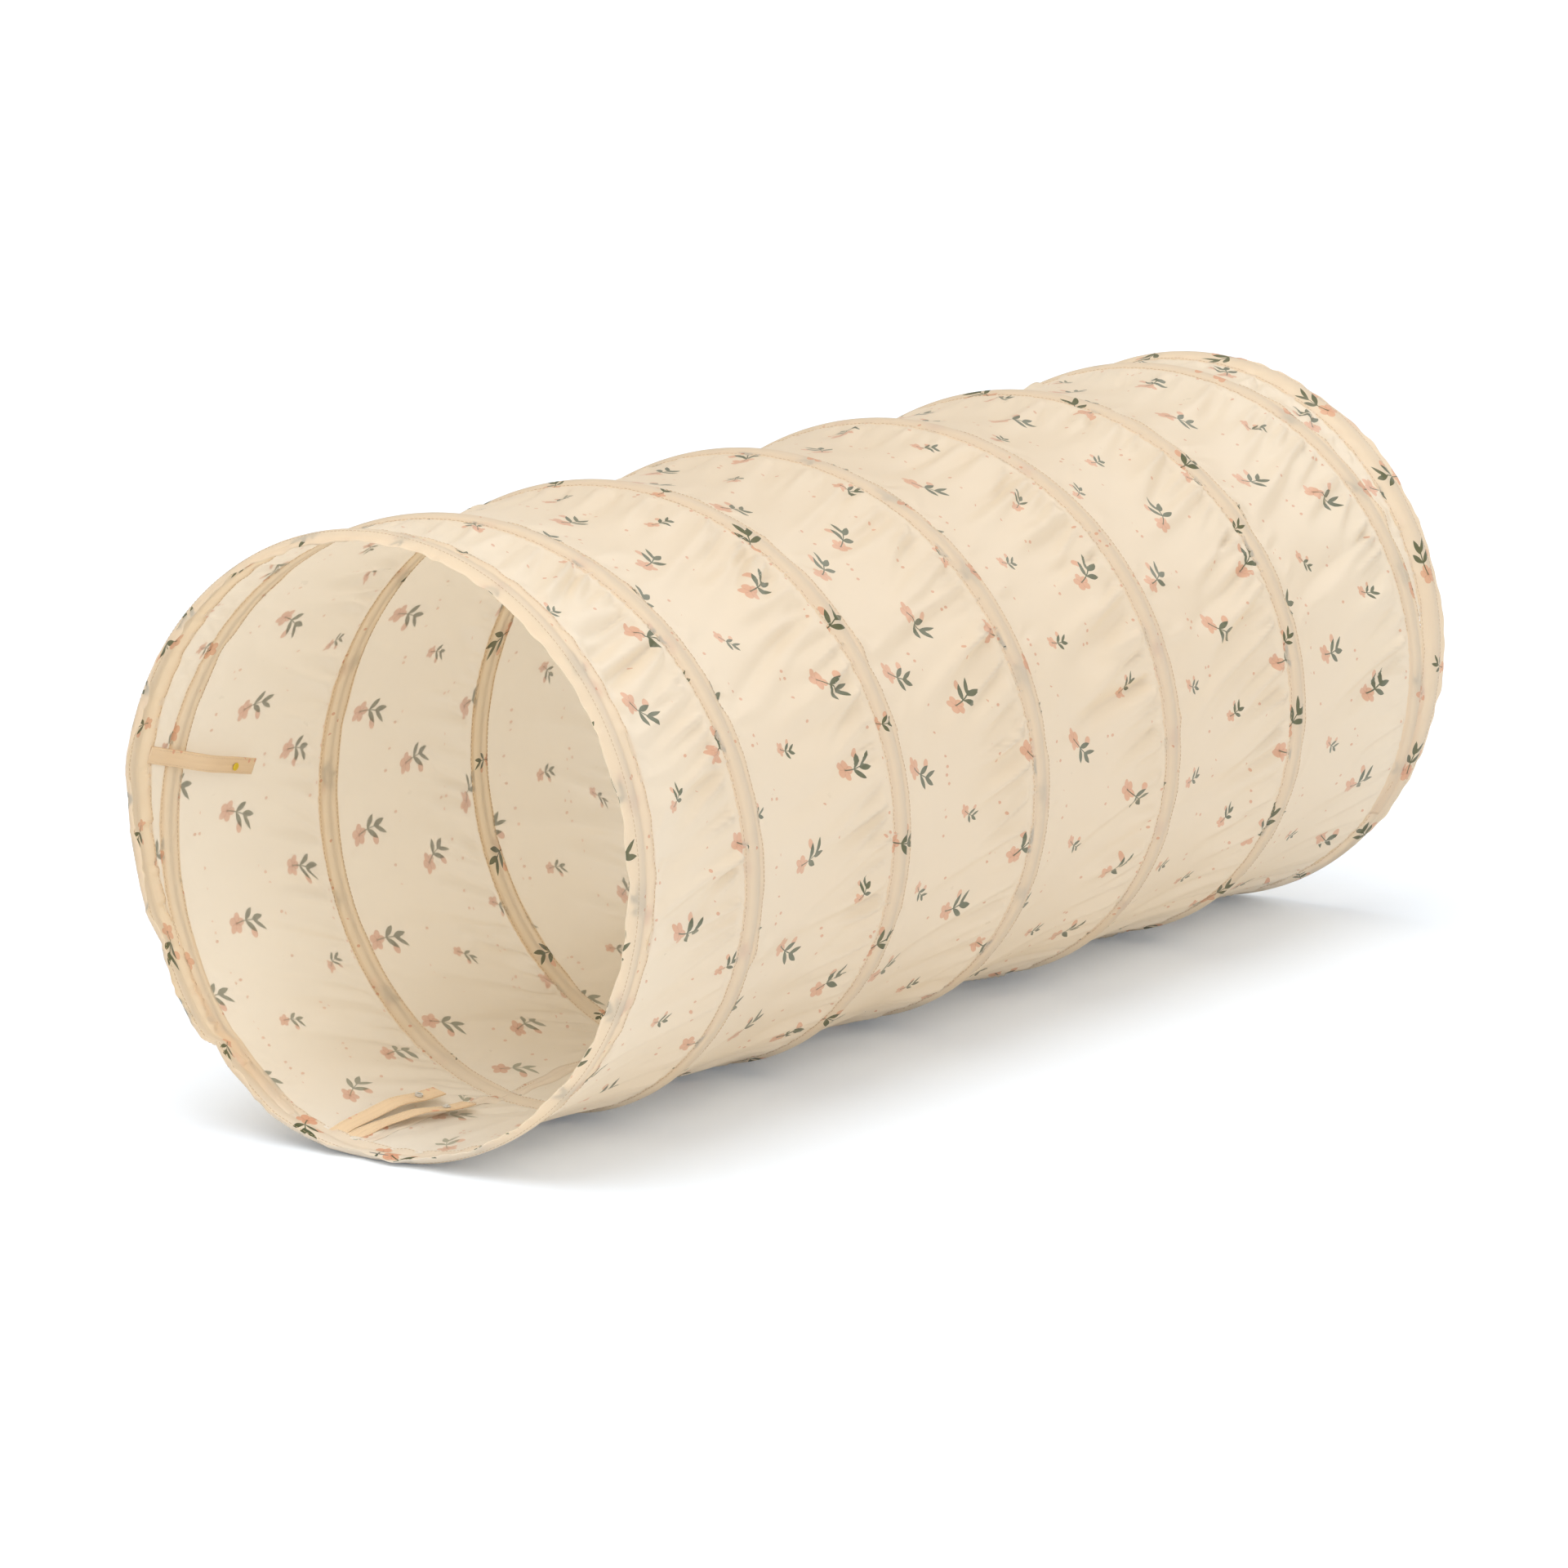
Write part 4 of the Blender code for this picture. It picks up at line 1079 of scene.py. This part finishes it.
def strapLine(share, axes, lift=0.0, over=0.0, spread=0.0, twist=0.0):
    # Middle line: root + along * length + a climb over the panel's waist, with the tape's width
    # turned about it by the twist. Behind the root it dips into the hem's seam.
    root, along, across, inward = axes
    ahead = np.clip(share, 0.0, 1.0)
    angle = twist * smooth(ahead / strap["twistShare"])
    width = across * np.cos(angle)[:, None] + inward * np.sin(angle)[:, None]
    rise = strap["climb"] * smooth(ahead / strap["riseShare"])
    rise = rise + np.abs(np.sin(angle)) * strap["width"] / 2 + lift
    rise = rise + (over - lift) * smooth(ahead / strap["snapShare"])
    rise = rise - strap["dip"] * (1 - smooth((share - strap["dipFrom"]) / strap["dipLength"]))
    wave = strap["wave"] * np.sin(share * strap["waves"] + lift * strap["waveStart"])
    last, fade = strap["waveOut"]
    rise = rise + wave * smooth(share / strap["waveIn"]) * smooth((last - share) / fade)
    middle = root + along * (strap["length"] * share)[:, None]
    middle = middle + across * (spread * smooth(ahead))[:, None] + inward * rise[:, None]
    return middle, width, np.cross(width, along)


def makeStrap(name, axes, **shape):
    # The tape's outline carried along its middle line, with a seam along each edge on both faces
    share = np.linspace(-strap["tail"] / strap["length"], 1.0, strap["rows"])
    middle, width, face = strapLine(share, axes, **shape)
    profile = loopProfile(strap["profile"])
    flatten = 1 - strap["endFlatter"] * smooth((share - strap["endFrom"]) / (1 - strap["endFrom"]))
    thick = profile[None, :, 1:] * flatten[:, None, None]
    points = middle[:, None, :] + width[:, None, :] * profile[None, :, :1] + face[:, None, :] * thick
    lengthwise = (share * strap["length"])[:, None]
    made = tubeObject(name + "_tape", points,
                      clothUv(lengthwise, outlineLengths(profile), (0.02, len(name) * strap["printStep"])))
    finishPiece(made, strapShadedCloth, name + "_body", node=name, slot="strap_cloth")
    sewn = np.arange(*strap["sewn"], stitch["every"] / strap["length"])
    middle, width, face = strapLine(sewn, axes, **shape)
    rows = []
    for edge in (-strap["seamAt"], strap["seamAt"]):
        for side in (1, -1):
            place = middle + width * edge + face * side * strap["seamDepth"]
            rows.append((place, np.gradient(place, axis=0), face * side))
    stitchRows(name + "_stitching", rows, name + "_body")
    return made, (strap["flatWidth"], strap["length"] + strap["tail"])


wallAxes = strapFrame(strap["wallAngle"], strap["wallAside"], strap["wallFall"])
leftAxes = strapFrame(strap["floorAngle"], strap["floorAside"] + strap["spacing"] / 2, 0.0)
rightAxes = strapFrame(strap["floorAngle"], strap["floorAside"] - strap["spacing"] / 2, 0.0)
straps = [
    makeStrap("wall_strap_outer", wallAxes, spread=-0.0007),
    makeStrap("wall_strap_inner", wallAxes, spread=0.0008, lift=0.0019, over=0.0048),
    makeStrap("floor_strap_left", leftAxes, spread=strap["drift"] + strap["spread"]),
    makeStrap("floor_strap_right", rightAxes, spread=strap["drift"] - strap["spread"],
              twist=-strap["twist"]),
]
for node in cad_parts.values():
    if "stud_cap" in node.name:
        finish = yellowPlastic
    elif "stud_" in node.name:
        finish = clearPlastic
    elif "ferrule" in node.name:
        finish = ferruleSteel
    else:
        continue
    for materialSlot in node.material_slots:
        materialSlot.material = finish
print("four straps and their studs made")

# Camera, floor and light
camera = {"azimuth": math.radians(33.662), "elevation": math.radians(10.974), "distance": 6.1399,
          "lens": 173.34, "sensor": 36.0, "roll": math.radians(0.18), "aside": -0.0010, "above": -0.0374,
          "target": (0.0, 0.55 + ringY, 0.24)}


def makeCamera():
    # Stands back from the target along the azimuth and elevation, as the photograph was taken
    turn, rise = camera["azimuth"], camera["elevation"]
    right = Vector((math.cos(turn), math.sin(turn), 0.0))
    back = Vector((math.sin(turn) * math.cos(rise), -math.cos(turn) * math.cos(rise), math.sin(rise)))
    up = back.cross(right)
    data = bpy.data.cameras.new("photo_camera")
    data.sensor_width = camera["sensor"]
    data.lens = camera["lens"]
    data.clip_end = 100.0
    made = bpy.data.objects.new("photo_camera", data)
    bpy.context.scene.collection.objects.link(made)
    target = Vector(camera["target"]) + right * camera["aside"] + up * camera["above"]
    turned = Matrix.Rotation(turn, 4, "Z") @ Matrix.Rotation(math.pi / 2 - rise, 4, "X")
    made.matrix_world = Matrix.Translation(target + back * camera["distance"]) @ turned \
        @ Matrix.Rotation(camera["roll"], 4, "Z")
    bpy.context.scene.camera = made


studio = {
    "sky": 0.57,                 # even light from all round
    "suns": (("key", (-0.05, -0.28, 0.95), 1.45, 55.0), ("fill", (0.72, -0.60, 0.34), 0.82, 50.0),
             ("back", (0.18, 0.80, 0.55), 0.50, 45.0)),
    "floorSize": 80.0, "floorTone": (0.89, 0.93, 0.975),
    "floorGlow": 0.115, "glowTone": (0.68, 0.83, 1.0),
}


def seenFactor(start):
    # 1 for rays from the camera or through a clear thing, and 0 for light on its way to the object
    path = start.tree.nodes.new("ShaderNodeLightPath")
    seen, clear, diffuse = (Wire(start.tree, path.outputs[name]) for name in (
        "Is Camera Ray", "Is Transmission Ray", "Is Diffuse Ray"))
    return start.maths("ADD", seen, clear, clamp=True) * (1.0 - diffuse)


def makeStudio():
    # A white world that lights evenly, three broad suns, and a white floor, brighter to the camera
    world = bpy.data.worlds.new("white_studio")
    bpy.context.scene.world = world
    world.use_nodes = True
    world.node_tree.nodes.clear()
    start = Wire(world.node_tree)
    strength = studio["sky"] + seenFactor(start) * (1.0 - studio["sky"])
    glow = start.add("ShaderNodeBackground", inputs={"Color": colour(1, 1, 1), "Strength": strength})
    output = world.node_tree.nodes.new("ShaderNodeOutputWorld")
    world.node_tree.links.new(glow.socket, output.inputs["Surface"])
    for name, towards, strength, spread in studio["suns"]:
        lamp = bpy.data.lights.new(name + "_light", "SUN")
        lamp.energy = strength
        lamp.angle = math.radians(spread)
        made = bpy.data.objects.new(name + "_light", lamp)
        bpy.context.scene.collection.objects.link(made)
        place = Vector(towards).normalized() * 4
        turned = (-place).to_track_quat("-Z", "Y").to_matrix().to_4x4()
        made.matrix_world = Matrix.Translation(place) @ turned
    half = studio["floorSize"] / 2
    corners = np.array([[-half, -half, 0], [half, -half, 0], [half, half, 0], [-half, half, 0]])
    floor = meshObject("studio_floor", corners, np.arange(4), np.array([0]))
    material, start = newMaterial("white_floor")
    matt = start.add("ShaderNodeBsdfDiffuse", inputs={"Color": colour(*studio["floorTone"])})
    lift = start.add("ShaderNodeEmission", inputs={"Color": colour(*studio["glowTone"]),
                                                   "Strength": seenFactor(start) * studio["floorGlow"]})
    finishMaterial(start, start.add("ShaderNodeAddShader", inputs={0: matt, 1: lift}))
    floor.data.materials.append(material)


makeCamera()
makeStudio()
bpy.context.scene.view_settings.view_transform = "Standard"
print("camera and studio made")
